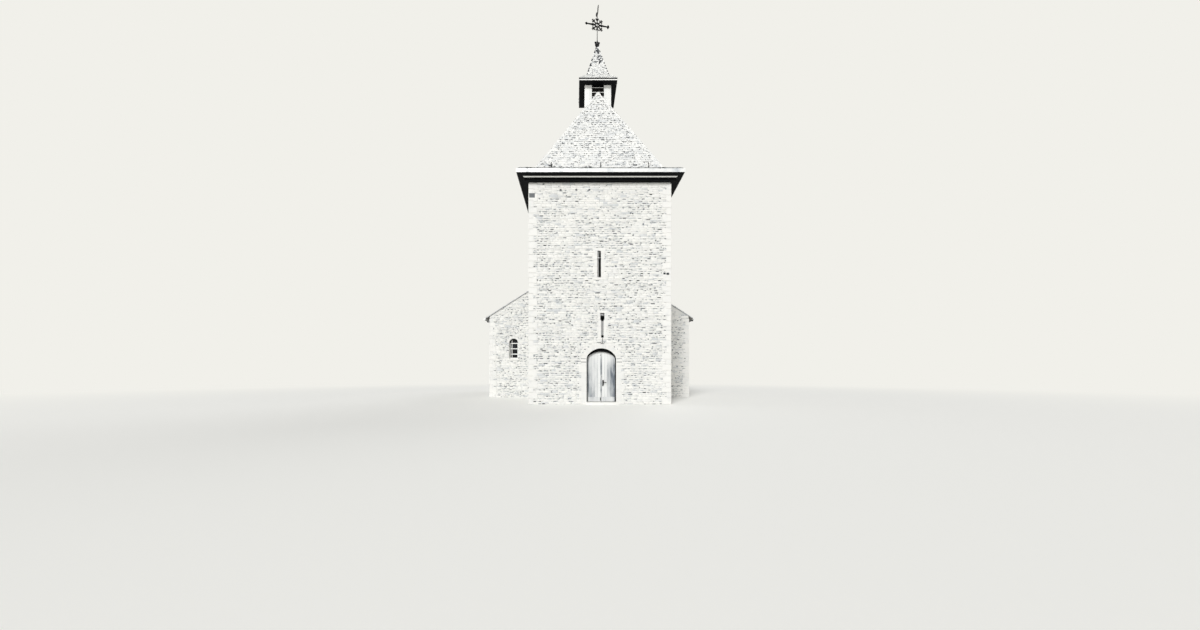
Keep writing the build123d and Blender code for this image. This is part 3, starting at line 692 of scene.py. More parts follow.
courseLook = {"lowest": 0.075, "highest": 0.125, "shortest": 0.14, "usual": 0.24, "longest": 0.42,
              "joint": 0.011, "proud": (0.008, 0.021), "jitter": 0.005, "split": 0.14, "hollow": 0.0003,
              "coolShare": 0.1, "openShare": 0.62, "openHigh": (0.014, 0.044), "openLong": (0.14, 0.62),
              "pitShare": 0.09, "patchiness": 0.6, "cleanTop": 1.0, "thinnest": 0.03, "splitAbove": 0.085,
              "openAbove": 0.06, "pitLong": 0.2, "pitGap": 0.085}
quoinLook = {"long": 0.38, "short": 0.21, "high": (0.2, 0.32), "least": 0.12, "proud": 0.024,
             "joint": 0.004, "chamfer": 0.009}
dice = np.random.default_rng(7)
courses = dice.uniform(courseLook["lowest"], courseLook["highest"], 120)
courses = np.concatenate([[0.004], 0.004 + np.cumsum(courses)])


# The stretches of a course that are free of openings: their ends at foot and head, their foot and head.
def freeStretches(low, high, left, right, holes):
    stretches = [(left(low), left(high), right(low), right(high), low, high)]
    for middle, bottom, top, half in holes:
        if top <= low or bottom >= high:
            continue
        foot, head = half(max(low, bottom)), half(min(high, top))
        cut = []
        for a, b, c, d, *level in stretches:
            cut.append((a, b, min(c, middle - foot), min(d, middle - head), *level))
            cut.append((max(a, middle + foot), max(b, middle + head), c, d, *level))
        stretches = cut
        if bottom > low + courseLook["thinnest"] + 0.005:
            stretches.append((middle - foot, middle - foot, middle + foot, middle + foot, low, bottom))
        if top < high - courseLook["thinnest"] - 0.005:
            stretches.append((middle - head, middle - head, middle + head, middle + head, top, high))
    return [stretch for stretch in stretches
            if min(stretch[2] - stretch[0], stretch[3] - stretch[1]) > courseLook["thinnest"]]


# Cuts a row at the given places. Each answer is a stone: its ends at foot and head, its foot and head.
def cutRow(a, b, c, d, cuts, level):
    foot, head = [a] + cuts + [c], [b] + cuts + [d]
    return [(foot[i], head[i], foot[i + 1], head[i + 1], *level) for i in range(len(cuts) + 1)]


def rubbleRows(left, right, low, high, holes):
    rows, shortest, longest = [], courseLook["shortest"], courseLook["longest"]
    for foot, head in zip(courses[:-1], courses[1:]):
        foot, head = max(foot, low), min(head, high)
        if head - foot < courseLook["thinnest"]:
            continue
        for a, b, c, d, *level in freeStretches(foot, head, left, right, holes):
            at, cuts = max(a, b) + dice.uniform(shortest, longest) * 0.7, []
            while at < min(c, d) - shortest * 0.7:
                cuts.append(at)
                at += dice.triangular(shortest, courseLook["usual"], longest)
            rows += cutRow(a, b, c, d, cuts, level)
    rows = np.array(rows)
    tall = rows[:, 5] - rows[:, 4] > courseLook["splitAbove"]
    tall &= dice.random(len(rows)) < courseLook["split"]
    below, above = rows[tall].copy(), rows[tall].copy()
    share = rows[tall, 4] + (rows[tall, 5] - rows[tall, 4]) * dice.uniform(0.4, 0.6, tall.sum())
    below[:, 5], above[:, 4] = share, share
    return np.concatenate([rows[~tall], below, above])


# Some patches of a wall have lost more mortar than others, and the top has lost the least.
def lostMortar(across, height, top):
    turn = dice.uniform(0, 2 * math.pi, 3)
    wave = np.sin(1.9 * across + turn[0]) * np.sin(1.6 * height + turn[1])
    wave += 0.7 * np.sin(3.7 * across - 2.3 * height + turn[2])
    clean = np.clip((top - height - 0.22) / courseLook["cleanTop"], 0.03, 1)
    return np.clip(1 + courseLook["patchiness"] * wave, 0.25, 1.7) * clean


# Lays a wall's stones and gives back the painted shade of its holes, open joints and pits.
def layRubble(name, face, left, right, low, high, holes, fine=False):
    rows = rubbleRows(left, right, low, high, holes)
    count = len(rows)
    pitted = (dice.random(count) < courseLook["pitShare"]) & (rows[:, 2] - rows[:, 0] > courseLook["pitLong"])
    pits = pitShades(face, rows[pitted])
    rows[pitted, :2] += courseLook["pitGap"]
    gap = dice.uniform(0.6, 1.4, (count, 4)) * courseLook["joint"] / 2
    worn = courseLook["openShare"] * lostMortar(rows[:, 0], rows[:, 4], high)
    opened = (dice.random(count) < worn) & (rows[:, 5] - rows[:, 4] > courseLook["openAbove"])
    gap[opened, 0] += dice.uniform(*courseLook["openHigh"], opened.sum())
    foot, head = rows[:, 4] + gap[:, 0], rows[:, 5] - gap[:, 1]
    outlines = fourSided((rows[:, 0] + gap[:, 2], foot), (rows[:, 2] - gap[:, 3], foot),
                         (rows[:, 3] - gap[:, 3], head), (rows[:, 1] + gap[:, 2], head))
    if fine:  # one more corner in the foot and one in the head
        for first, second, place in ((0, 1, 1), (3, 4, 4)):
            share = dice.uniform(0.3, 0.7, (count, 1))
            extra = outlines[:, first] * (1 - share) + outlines[:, second] * share
            outlines = np.insert(outlines, place, extra, 1)
    reach = np.minimum(courseLook["jitter"], (outlines[:, :, 0].max(1) - outlines[:, :, 0].min(1)) * 0.08)
    outlines += dice.uniform(-1, 1, outlines.shape) * reach[:, None, None]
    hollow = dice.random(count) < courseLook["hollow"]
    tint = np.clip(dice.normal(0.1, 0.1, count), 0, 0.4)
    cool = dice.random(count) < courseLook["coolShare"]
    tint[cool] = dice.uniform(0.35, 0.9, cool.sum())
    proud = dice.uniform(*courseLook["proud"], count)[~hollow]
    chamfer = dice.uniform(0.004, 0.008, len(proud))
    stones = slabs(face, outlines[~hollow], proud, -0.01, chamfer, tint[~hollow])
    addPiece(name, [stones], rubbleStone, smooth=80)
    # Painted shade: a dark slab where a stone is lost.
    lost = slabs(face, outlines[hollow], 0.003, -0.004, 0.001, 0.9)
    return [lost, jointShadeStrips(face, rows[opened], gap[opened]), pits]


# Painted shade: small dark pits beside some of the stones.
def pitShades(face, rows):
    count, angle = len(rows), np.arange(8) * math.pi / 4
    half = dice.uniform((0.016, 0.012), (0.042, 0.034), (count, 2))
    half[:, 1] = np.minimum(half[:, 1], (rows[:, 5] - rows[:, 4]) * 0.45)
    middle = np.stack([rows[:, 0] + 0.046, (rows[:, 4] + rows[:, 5]) / 2], -1)
    ring = np.stack([np.cos(angle), np.sin(angle)], -1) * dice.uniform(0.8, 1.1, (count, 8, 1))
    outlines = middle[:, None] + ring * half[:, None]
    return slabs(face, outlines, 0.005, -0.003, 0.001, dice.uniform(0.35, 1, count))


# Painted shade: thin dark strips in the bed joints that have lost their mortar.
def jointShadeStrips(face, rows, gap):
    count, wide = len(rows), rows[:, 2] - rows[:, 0]
    start = rows[:, 0] + gap[:, 2] + wide * dice.uniform(0, 0.6, count)
    end = np.minimum(start + wide * dice.uniform(*courseLook["openLong"], count), rows[:, 2] - gap[:, 3])
    slant = dice.uniform(-0.004, 0.004, (count, 1))
    outline = rectangles(start, end, rows[:, 4] + 0.002, rows[:, 4] + gap[:, 0] - 0.001)
    outline[:, :, 1] += slant * (1, -1, -1, 1)
    return plates(face, outline, -0.003, 0.004, dice.beta(1.3, 1.0, count))


# Corner stones, long one way and short the other by turns, from one height to another.
def quoins(x, y, sideX, sideY, low, high):
    lows, highs, at, turn, look = [], [], low, dice.integers(2), quoinLook
    while at < high - look["least"]:
        top = min(at + dice.uniform(*look["high"]), high)
        reach = (look["long"], look["short"]) if turn else (look["short"], look["long"])
        reach = reach * dice.uniform(0.92, 1.06, 2)
        ends = [(x + sideX * look["proud"] * dice.uniform(0.9, 1), x - sideX * reach[0]),
                (y + sideY * look["proud"] * dice.uniform(0.9, 1), y - sideY * reach[1])]
        lows.append((min(ends[0]), min(ends[1]), at + look["joint"]))
        highs.append((max(ends[0]), max(ends[1]), top - look["joint"]))
        at, turn = top, 1 - turn
    return blocks(lows, highs, look["chamfer"], dice.uniform(0, 0.5, len(lows)))


frontFace, rightFace, backFace, leftFace = boxFaces(towerLeft, towerRight, towerFront, towerBack)
naveFaces = boxFaces(naveLow[0], naveHigh[0], naveWest, naveHigh[1])
naveWestFace, naveRightFace, naveEastFace, naveLeftFace = naveFaces

slitLook = {"middle": towerX - 0.03 - towerLeft, "half": 0.0785, "low": 5.82, "high": 7.04, "side": 0.15,
            "lintel": 0.14, "sill": 0.1, "proud": 0.026}
loopLook = {"middle": towerX + 0.115 - towerLeft, "half": 0.0575, "headHalf": 0.095, "low": 3.06,
            "headLow": 3.87, "high": 4.19, "side": 0.14, "lintel": 0.12, "sill": 0.09, "proud": 0.024}
windowLook = {"endX": 4.64, "half": 0.265, "low": 2.37, "spring": 3.335, "ring": 0.13, "wedges": 9,
              "sill": 0.11, "frameOut": -0.17}
doorwayLook = {"half": 0.68, "rise": 0.51, "haunch": 0.34, "ring": 0.2, "jamb": 0.24, "wedges": 15,
               "impost": 0.27}
doorArch = makeArch(doorwayLook["half"], doorwayLook["rise"], doorwayLook["haunch"], archFoot)
windowArch = makeArch(windowLook["half"], windowLook["half"], windowLook["half"], windowLook["spring"])
naveWallTop, naveSlope, naveTop = 4.8, 0.633, naveRoofHigh[2]
backStonesFrom = 6.6  # the tower's back wall is inside the nave below that


def always(value):
    return lambda height: value


# A hole is its middle, foot and head, and its half width at a height.
def slitHole(middle, look=slitLook, half=slitLook["half"]):
    clear = always(half + look["side"] - 0.02)
    return middle, look["low"] - look["sill"], look["high"] + look["lintel"], clear


def doorHalfAt(height):
    if height > archFoot:
        return archHalf(doorArch, height, doorwayLook["ring"] + 0.01)
    return doorwayLook["half"] + 0.22


def windowHalfAt(height):
    if height > windowLook["spring"]:
        return archHalf(windowArch, height, windowLook["ring"] + 0.01)
    return windowLook["half"] + 0.008


def windowHole(middle):
    head = windowLook["spring"] + windowLook["half"] + windowLook["ring"] + 0.01
    return middle, windowLook["low"] - windowLook["sill"], head, windowHalfAt


def ridgeHalfAt(height):
    return max(0.01, (naveTop + 0.03 - height) / naveSlope)


shadeMarks = []
cornerZone = quoinLook["short"] - 0.02
doorAcross = doorX - towerLeft
frontHoles = [(doorAcross, 0, archFoot + doorwayLook["rise"] + doorwayLook["ring"] + 0.01, doorHalfAt),
              slitHole(slitLook["middle"]), slitHole(loopLook["middle"], loopLook, loopLook["headHalf"])]
sideMiddle = towerDeep / 2
naveAtRight, naveAtLeft = naveTop - naveSlope * towerRight, naveTop + naveSlope * towerLeft
naveBeside = always(towerBack - naveWest + 0.01)
fromCorner, toCorner = always(cornerZone), always(towerWide - cornerZone)
toSideCorner, toNaveCorner = always(towerDeep - cornerZone), always(naveLong - cornerZone)
shadeMarks += layRubble("towerFrontStones", frontFace, fromCorner, toCorner, 0, wallTop, frontHoles, True)
shadeMarks += layRubble("towerRightStones", rightFace, fromCorner, toSideCorner, 0, wallTop,
                     [slitHole(sideMiddle), (towerDeep, 0, naveAtRight, naveBeside)])
shadeMarks += layRubble("towerLeftStones", leftFace, fromCorner, toSideCorner, 0, wallTop,
                     [slitHole(sideMiddle), (0, 0, naveAtLeft, naveBeside)])
shadeMarks += layRubble("towerBackStones", backFace, fromCorner, toCorner, backStonesFrom, wallTop,
                     [(towerRight, 0, naveTop + 0.02, ridgeHalfAt)])


# The free stretch of the gable walls under the slates.
def gableLeft(height):
    reach = min(naveWide / 2, (naveTop - 0.06 - height) / naveSlope)
    return naveWide / 2 - reach + (cornerZone if height < naveWallTop else 0.01)


def gableRight(height):
    return naveWide - gableLeft(height)


endMiddles = [naveWide / 2 + end * windowLook["endX"] for end in (-1, 1)]
endWindows = [windowHole(middle) for middle in endMiddles]
towerHole = (towerX + naveWide / 2, 0, wallTop, always(towerWide / 2 + 0.01))
shadeMarks += layRubble("naveWestStones", naveWestFace, gableLeft, gableRight, 0, naveAtLeft,
                     endWindows + [towerHole])
shadeMarks += layRubble("naveEastStones", naveEastFace, gableLeft, gableRight, 0, naveTop - 0.3, endWindows)
naveInner = naveHigh[1] - roomLook["naveWall"] - towerBack
sideWindows = [towerBack - naveWest + naveInner * (i + 0.5) / 3 for i in range(3)]
shadeMarks += layRubble("naveRightStones", naveRightFace, fromCorner, toNaveCorner, 0, naveWallTop,
                     [windowHole(middle) for middle in sideWindows])
shadeMarks += layRubble("naveLeftStones", naveLeftFace, fromCorner, toNaveCorner, 0, naveWallTop,
                     [windowHole(naveLong - middle) for middle in sideWindows])
cornerStones = []
for x, sideX, start in ((towerLeft, -1, naveAtLeft), (towerRight, 1, naveAtRight)):
    cornerStones.append(quoins(x, towerFront, sideX, -1, 0.004, wallTop - 0.004))
    cornerStones.append(quoins(x, towerBack, sideX, 1, start, wallTop - 0.004))
for x, sideX in ((naveLow[0], -1), (naveHigh[0], 1)):
    cornerStones.append(quoins(x, naveWest, sideX, -1, 0.004, naveWallTop))
    cornerStones.append(quoins(x, naveHigh[1], sideX, 1, 0.004, naveWallTop))
addPiece("cornerStones", cornerStones, dressedStone)
print("walls laid")


dressLook = {"high": (0.2, 0.32), "least": 0.1, "longer": 1.45, "joint": 0.003, "back": -0.03,
             "chamfer": 0.006, "lintelProud": 0.021}


# Dressed stones up both sides of an opening, every other one longer.
def dressSides(face, middle, inner, low, high, reach, proud=0.02):
    parts, at, turn, look = [], low, 0, dressLook
    while at < high - look["least"]:
        top = min(at + dice.uniform(*look["high"]), high)
        top = high if high - top < look["least"] else top
        for side in (-1, 1):
            wide = reach * (look["longer"] if (turn + side) % 4 == 1 else 1)
            ends = spanOf(middle, side, inner, inner + wide)
            parts.append(faceBlocks(face, *ends, at + look["joint"], top - look["joint"], look["back"], proud,
                                    look["chamfer"], dice.uniform(0, 0.5)))
        at, turn = top, turn + 2
    return parts


# The lintel and the sill.
def dressEnds(face, middle, look, wide):
    high, low, back, chamfer = look["high"], look["low"], dressLook["back"], dressLook["chamfer"]
    lintelProud = dressLook["lintelProud"]
    return [midBlocks(face, middle, wide, high, high + look["lintel"], back, lintelProud, chamfer),
            midBlocks(face, middle, wide, low - look["sill"], low, back, look["proud"], chamfer)]


def dressSlit(face, middle):
    sides = dressSides(face, middle, slitLook["half"], slitLook["low"], slitLook["high"], slitLook["side"])
    return sides + dressEnds(face, middle, slitLook, slitLook["half"] + slitLook["side"] + 0.06)


def dressWindow(face, middle):
    look, back = windowLook, dressLook["back"]
    low, half = look["low"], look["half"] + 0.1
    ring = wedges(windowArch, look["wedges"], look["ring"], middle)
    return [slabs(face, ring, 0.02, back, 0.005, dice.uniform(0, 0.5, len(ring))),
            midBlocks(face, middle, half, low - look["sill"], low, back, 0.045, 0.008)]


dressings = dressSlit(frontFace, slitLook["middle"])
dressings += dressSlit(rightFace, sideMiddle) + dressSlit(leftFace, sideMiddle)
loopMiddle, loopSide = loopLook["middle"], loopLook["side"]
headLow, headHalf = loopLook["headLow"], loopLook["headHalf"]
dressings += dressSides(frontFace, loopMiddle, loopLook["half"], loopLook["low"], headLow, loopSide)
dressings += dressSides(frontFace, loopMiddle, headHalf, headLow, loopLook["high"], loopSide - 0.03)
dressings += dressEnds(frontFace, loopMiddle, loopLook, headHalf + loopSide)
for middle in endMiddles:
    dressings += dressWindow(naveWestFace, middle) + dressWindow(naveEastFace, middle)
for middle in sideWindows:
    dressings += dressWindow(naveRightFace, middle) + dressWindow(naveLeftFace, naveLong - middle)
addPiece("openingStones", dressings, dressedStone)
doorHalf = doorwayLook["half"] - 0.003
doorStones = dressSides(frontFace, doorAcross, doorHalf, 0.006, archFoot - 0.12, doorwayLook["jamb"], 0.022)
for side in (-1, 1):
    ends = spanOf(doorAcross, side, doorHalf, doorwayLook["half"] + doorwayLook["impost"])
    doorStones.append(faceBlocks(frontFace, *ends, archFoot - 0.114, archFoot + 0.02, -0.03, 0.03, 0.008))
doorRing = wedges(doorArch, doorwayLook["wedges"], doorwayLook["ring"], doorAcross)
doorStones.append(slabs(frontFace, doorRing, 0.022, -0.03, 0.006, dice.uniform(0, 0.5, len(doorRing))))
addPiece("doorwayStones", doorStones, dressedStone)

# Dark blocks of painted shade in holes left by scaffold poles, a lost corner stone and a chipped edge:
# across, height and half sizes.
lostLook = {"poles": ((-1.80, 9.83), (-1.08, 9.83), (-0.48, 9.83)), "poleHalf": 0.043, "poleHigh": 0.036,
            "corner": (0.14, 9.57, 0.13, 0.1), "edge": ((0.29, 5.995, 0.05, 0.045), (0.14, 5.98, 0.06, 0.05))}
# The shade under and over the imposts: up from the arch's foot, half height and tint.
impostShade = {"away": 0.14, "half": 0.12, "bands": ((-0.1195, 0.0145, 1.0), (0.027, 0.011, 0.7))}


def addShadeMark(across, height, half, halfHigh, proud, chamfer, tint):
    low, high = height - halfHigh, height + halfHigh
    shadeMarks.append(midBlocks(frontFace, across, half, low, high, -0.01, proud, chamfer, tint))


for across, height in lostLook["poles"]:
    addShadeMark(across + towerWide / 2, height, lostLook["poleHalf"], lostLook["poleHigh"], 0.0225, 0.002, 0.75)
addShadeMark(*lostLook["corner"], 0.0255, 0.002, 0.7)
for inFromRight, height, half, halfHigh in lostLook["edge"]:
    addShadeMark(towerWide - inFromRight, height, half, halfHigh, 0.0255, 0.002, 0.9)
for side in (-1, 1):
    across = doorAcross + side * (doorwayLook["half"] + impostShade["away"])
    for up, halfHigh, tint in impostShade["bands"]:
        addShadeMark(across, archFoot + up, impostShade["half"], halfHigh, 0.024, 0.001, tint)
# Painted shade in holes, open joints and pits.
addPiece("deepJoints", shadeMarks, holeShade)
print("openings dressed")

slateCut = {"gauge": 0.14, "wide": 0.2, "thick": 0.008, "lap": 0.05, "ragged": 0.008}
openShares = {"Front": 0.8, "Right": 0.55, "Back": 0.5, "Left": 0.55, "nave": 0.36}
# Painted shade under slate feet and in gaps.
slateGapShades = []


# A slope is a face between four corners, named from below left, counter-clockwise seen from outside.
def makeSlope(belowLeft, belowRight, aboveRight, aboveLeft):
    points = np.array((belowLeft, belowRight, aboveRight, aboveLeft), float)
    across = unit(points[1] - points[0])
    face = makeFace(points[0], across, unit(np.cross(across, points[3] - points[0] + points[2] - points[1])))
    flat = [((point - points[0]) @ face["across"], (point - points[0]) @ face["up"]) for point in points]
    top = flat[3][1]

    def leftEdge(height):
        return flat[3][0] * height / top

    def rightEdge(height):
        return flat[1][0] + (flat[2][0] - flat[1][0]) * height / top

    return face, leftEdge, rightEdge, top


def laySlates(slope, openShare, gauge=slateCut["gauge"], wide=slateCut["wide"], darkShare=0.0, low=0.0):
    face, left, right, top = slope
    rows = []
    for index, foot in enumerate(np.arange(low, top, gauge)):
        head = min(foot + gauge + slateCut["lap"], top)
        a, b, c, d = left(foot), left(head), right(foot), right(head)
        if c - a < 0.02 or head - foot < 0.04:
            continue
        at, cuts = max(a, b) + wide * (0.25 + 0.5 * (index % 2)) * dice.uniform(0.8, 1.2), []
        while at < min(c, d) - wide * 0.2:
            cuts.append(at)
            at += wide * dice.uniform(0.75, 1.25)
        rows += cutRow(a, b, c, d, cuts, (foot, head))
    rows = np.array(rows)
    count, rise = len(rows), rows[:, 4] / top
    gap = dice.uniform(0.0005, 0.002, count)
    foot = rows[:, 4] - dice.uniform(0, slateCut["ragged"], count) * (rows[:, 4] > low + 0.01)
    skew = dice.uniform(-0.003, 0.003, count)
    outline = fourSided((rows[:, 0] + gap, foot + skew), (rows[:, 2] - gap, foot - skew),
                        (rows[:, 3] - gap, rows[:, 5]), (rows[:, 1] + gap, rows[:, 5]))
    thick = slateCut["thick"] * dice.uniform(0.7, 1.3, count)
    under = thick[:, None] * (1.5, 1.5, 0, 0) + 0.001
    tint = np.clip(dice.normal(0.2, 0.18, count), 0, 0.8)
    tint[dice.random(count) < darkShare * np.clip(2.2 * rise - 0.35, 0, 1.3)] = 1.0
    opened = dice.random(count) < openShare * np.clip(0.5 + 0.8 * rise, 0, 1.2)
    slateGapShades.append(buttShades(face, rows[opened], foot[opened], thick[opened], 0.2 + 0.95 * openShare))
    return plates(face, outline, under, under + thick[:, None], tint)


# Painted shade: the dark line under a slate's raised foot.
def buttShades(face, rows, foot, thick, deep):
    count, wide = len(rows), rows[:, 2] - rows[:, 0]
    start = rows[:, 0] + wide * dice.uniform(0.0, 0.6, count)
    end = np.minimum(start + wide * dice.uniform(0.2, 0.9, count), rows[:, 2])
    outline = rectangles(start, end, foot - dice.uniform(0.014, 0.056, count), foot + 0.004)
    over = np.repeat(thick[:, None] * 2.2, 4, 1)
    tint = deep * dice.beta(1.5, 1.0, count) * (0.9 + 0.8 * rows[:, 4] / rows[-1, 4])
    return plates(face, outline, over - 0.004, over, np.clip(tint, 0, 1))


coverFaces = [(3, 4, 10, 9), (4, 5, 11, 10), (1, 0, 6, 7), (2, 1, 7, 8), (0, 1, 4, 3), (1, 2, 5, 4),
              (7, 6, 9, 10), (8, 7, 10, 11), (0, 3, 9, 6), (5, 2, 8, 11)]


# Bent cover tiles along a hip or ridge, each with a wing on both sides.
def covers(start, end, wingOne, wingTwo, reach, length, thick=0.012, lift=0.016, darkShare=0.0):
    start, end = np.array(start, float), np.array(end, float)
    total = np.linalg.norm(end - start)
    count = max(1, round(total / length))
    along = (end - start) / total
    ups = [np.cross(wing, along) for wing in (wingOne, wingTwo)]
    ridge = unit(sum(up if up[2] > 0 else -up for up in ups))
    cells = []
    for i in range(count):
        ends = []
        for at, raised in ((i * total / count, 0.012), (min((i + 1) * total / count + 0.03, total), 0.0)):
            for depth in (0.0, thick):
                here = start + along * at + ridge * (lift + raised + depth)
                ends += [here + wingOne * reach, here + ridge * 0.006, here + wingTwo * reach]
        cells.append(ends)
    inward = np.cross(wingTwo - wingOne, along) @ ridge > 0
    faces = [face[::-1] for face in coverFaces] if inward else coverFaces
    tint = np.where(dice.random(count) < darkShare, 1.0, dice.uniform(0, 0.35, count))
    return np.array(cells), faces, tint


def inSlope(direction, along):
    return unit(direction - along * (direction @ along))


def hipCovers(starts, ends, slopes, reach, length, **more):
    parts = []
    for i, (start, end) in enumerate(zip(starts, ends)):
        along = unit(end - start)
        wings = inSlope(slopes[i][0]["across"], along), inSlope(-slopes[i - 1][0]["across"], along)
        parts.append(covers(start, end, *wings, reach, length, **more))
    return parts


def squareCorners(x, y, half, height):
    return [np.array((x + a * half, y + b * half, height)) for a, b in ((-1, -1), (1, -1), (1, 1), (-1, 1))]


def squareFaces(x, y, half):
    return boxFaces(x - half, x + half, y - half, y + half)


def slopesRound(below, above):
    return [makeSlope(below[i], below[(i + 1) % 4], above[(i + 1) % 4], above[i]) for i in range(4)]


breakHalf = (roofHigh[0] - roofLow[0]) / 2
rightRoof = frame["nodes"]["tower_roof_right"].data.vertices
ridgeLine = [vertex.co.y for vertex in rightRoof if vertex.co.z > roofHigh[2] - 0.01]
ridgeFront, ridgeBack = min(ridgeLine), max(ridgeLine)
ridgeEnds = [np.array((turretX, y, roofHigh[2])) for y in (ridgeFront, ridgeFront, ridgeBack, ridgeBack)]
breakCorners = squareCorners(towerX, towerY, breakHalf, roofLow[2])
eaveLook = {"half": 3.7, "edge": 0.055}
eaveCorners = squareCorners(towerX, towerY, eaveLook["half"], flareFoot + eaveLook["edge"])
towerSlopes, flareSlopes = slopesRound(breakCorners, ridgeEnds), slopesRound(eaveCorners, breakCorners)
for name, slope, flare in zip(("Front", "Right", "Back", "Left"), towerSlopes, flareSlopes):
    share = openShares[name]
    addPiece("towerSlates" + name, [laySlates(slope, share), laySlates(flare, 0.6 * share)], slate)
hipLook = {"reach": 0.1, "ridgeReach": 0.12, "length": 0.24, "footFree": 0.1}
towerHips = hipCovers(breakCorners, ridgeEnds, towerSlopes, hipLook["reach"], hipLook["length"])
hipFeet = [foot + (head - foot) * hipLook["footFree"] for foot, head in zip(eaveCorners, breakCorners)]
towerHips += hipCovers(hipFeet, breakCorners, flareSlopes, hipLook["reach"], hipLook["length"])
sideWings = [inSlope(-towerSlopes[i][0]["up"], np.array((0.0, 1.0, 0.0))) for i in (1, 3)]
towerHips.append(covers(ridgeEnds[0], ridgeEnds[2], *sideWings, hipLook["ridgeReach"], hipLook["length"]))
addPiece("towerHipSlates", towerHips, slate)

# The spire's slates, each pair for its splayed foot and its upper part.
spireLook = {"gauge": 0.085, "wide": 0.085, "breakHalf": 0.57, "breakHeight": 17.27, "tipHalf": 0.045,
             "darkShare": (0.0, 0.3), "openShare": (0.1, 0.75), "darkHips": (0.0, 0.5)}
spireLevels = ((eavesHalf - 0.004, spireLow[2] + 0.004), (spireLook["breakHalf"], spireLook["breakHeight"]),
               (spireLook["tipHalf"], spireHigh[2]))
spireRings = [squareCorners(turretX, towerY, half, height) for half, height in spireLevels]
spireParts = []
for tier, (below, above) in enumerate(zip(spireRings[:-1], spireRings[1:])):
    slopes = slopesRound(below, above)
    spireParts += [laySlates(slope, spireLook["openShare"][tier], spireLook["gauge"], spireLook["wide"],
                             spireLook["darkShare"][tier]) for slope in slopes]
    spireParts += hipCovers(below, above, slopes, 0.05, 0.1, thick=0.008, lift=0.012,
                            darkShare=spireLook["darkHips"][tier])
addPiece("spireSlates", spireParts, slate)

# The nave's slates lie beside the tower first, then behind it up to the ridge.
naveReach = -naveRoofLow[0]
naveEave = naveTop - naveSlope * naveReach
naveEnds = (naveRoofLow[1] + 0.004, naveRoofHigh[1] - 0.006)
roofLong, roofBeside = naveEnds[1] - naveEnds[0], towerBack - naveEnds[0]
for side, name, wall in ((1, "Right", towerRight), (-1, "Left", -towerLeft)):
    near, far = naveEnds[::side]
    face, _, _, top = makeSlope((side * naveReach, near, naveEave), (side * naveReach, far, naveEave),
                                (0, far, naveTop), (0, near, naveTop))
    step = slateCut["gauge"] * math.ceil((naveReach - wall) * top / naveReach / slateCut["gauge"])
    behind = (roofBeside, roofLong) if side > 0 else (0.0, roofLong - roofBeside)
    lower, upper = (face, always(0.0), always(roofLong), step), (face, *map(always, behind), top - 0.02)
    addPiece("naveSlates" + name, [laySlates(lower, openShares["nave"]),
                                   laySlates(upper, openShares["nave"], low=step)], slate)

# Painted shade in the gaps where slates have slipped near the foot of the front slope: across, height and
# half sizes.
slipped = ((1.66, 11.14, 0.1, 0.0375), (-2.3, 11.12, 0.085, 0.025), (-2.27, 11.02, 0.095, 0.025),
           (-0.44, 11.03, 0.07, 0.0225))
frontSlope = towerSlopes[0][0]
for across, height, half, halfHigh in slipped:
    rise = (height - roofLow[2]) / frontSlope["up"][2]
    slateGapShades.append(midBlocks(frontSlope, breakHalf + across, half, rise - halfHigh, rise + halfHigh,
                               0.004, 0.027, 0.001, 1.0))
addPiece("slateGapShades", slateGapShades, holeShade)

# Stepped metal strips where the nave roof meets the tower.
flashLook = {"long": 0.3, "over": 0.05, "high": 0.17, "proud": 0.03, "thick": 0.003}


def ridgeLineOn(across):
    return naveTop - naveSlope * np.abs(across - towerRight)


def flashing(face, ends, line):
    starts, ends = ends[:-1] - flashLook["over"] / 2, ends[1:] + flashLook["over"] / 2
    outlines = fourSided((starts, line(starts)), (ends, line(ends)), (ends, line(ends) + flashLook["high"]),
                         (starts, line(starts) + flashLook["high"]))
    proud = flashLook["proud"] + flashLook["thick"] * (np.arange(len(starts)) % 2)
    return slabs(face, outlines, proud, -0.01, 0.001, dice.uniform(0, 0.5, len(starts)))


strips = []
for left, right in ((0.05, towerRight), (towerRight, towerWide - 0.05)):
    strips.append(flashing(backFace, np.linspace(left, right, round((right - left) / flashLook["long"]) + 1),
                           ridgeLineOn))
besideTower = np.linspace(0.05, roofBeside - 0.02, 3)
strips.append(flashing(rightFace, towerDeep - besideTower[::-1], lambda across: naveAtRight + 0 * across))
strips.append(flashing(leftFace, besideTower, lambda across: naveAtLeft + 0 * across))
addPiece("roofFlashing", strips, zinc)
print("roofs slated")

hookLook = {"places": (-2.25, 0.05, 2.28), "low": 10.97, "high": 11.28,
            "radii": (0.02, 0.022, 0.02, 0.018, 0.012)}
hookSlope = (breakHalf + ridgeFront - towerY) / (roofHigh[2] - roofLow[2])
hookFoot = towerY - breakHalf + (hookLook["low"] - roofLow[2]) * hookSlope
hooks = []
for place in hookLook["places"]:
    x, y, low, high = towerX + place, hookFoot, hookLook["low"], hookLook["high"]
    path = [(x, y + 0.05, low + 0.02), (x, y - 0.045, low), (x, y - 0.06, low + 0.08),
            (x, y - 0.02, high - 0.06), (x, y + 0.075, high - 0.03)]
    hooks.append(bar(path, hookLook["radii"], 8))
    hooks.append(blocks([(x - 0.03, y - 0.012, low - 0.04)], [(x + 0.03, y + 0.02, low + 0.06)]))
addPiece("roofHooks", hooks, wroughtIron, hides=["roof_hooks"], smooth=50)

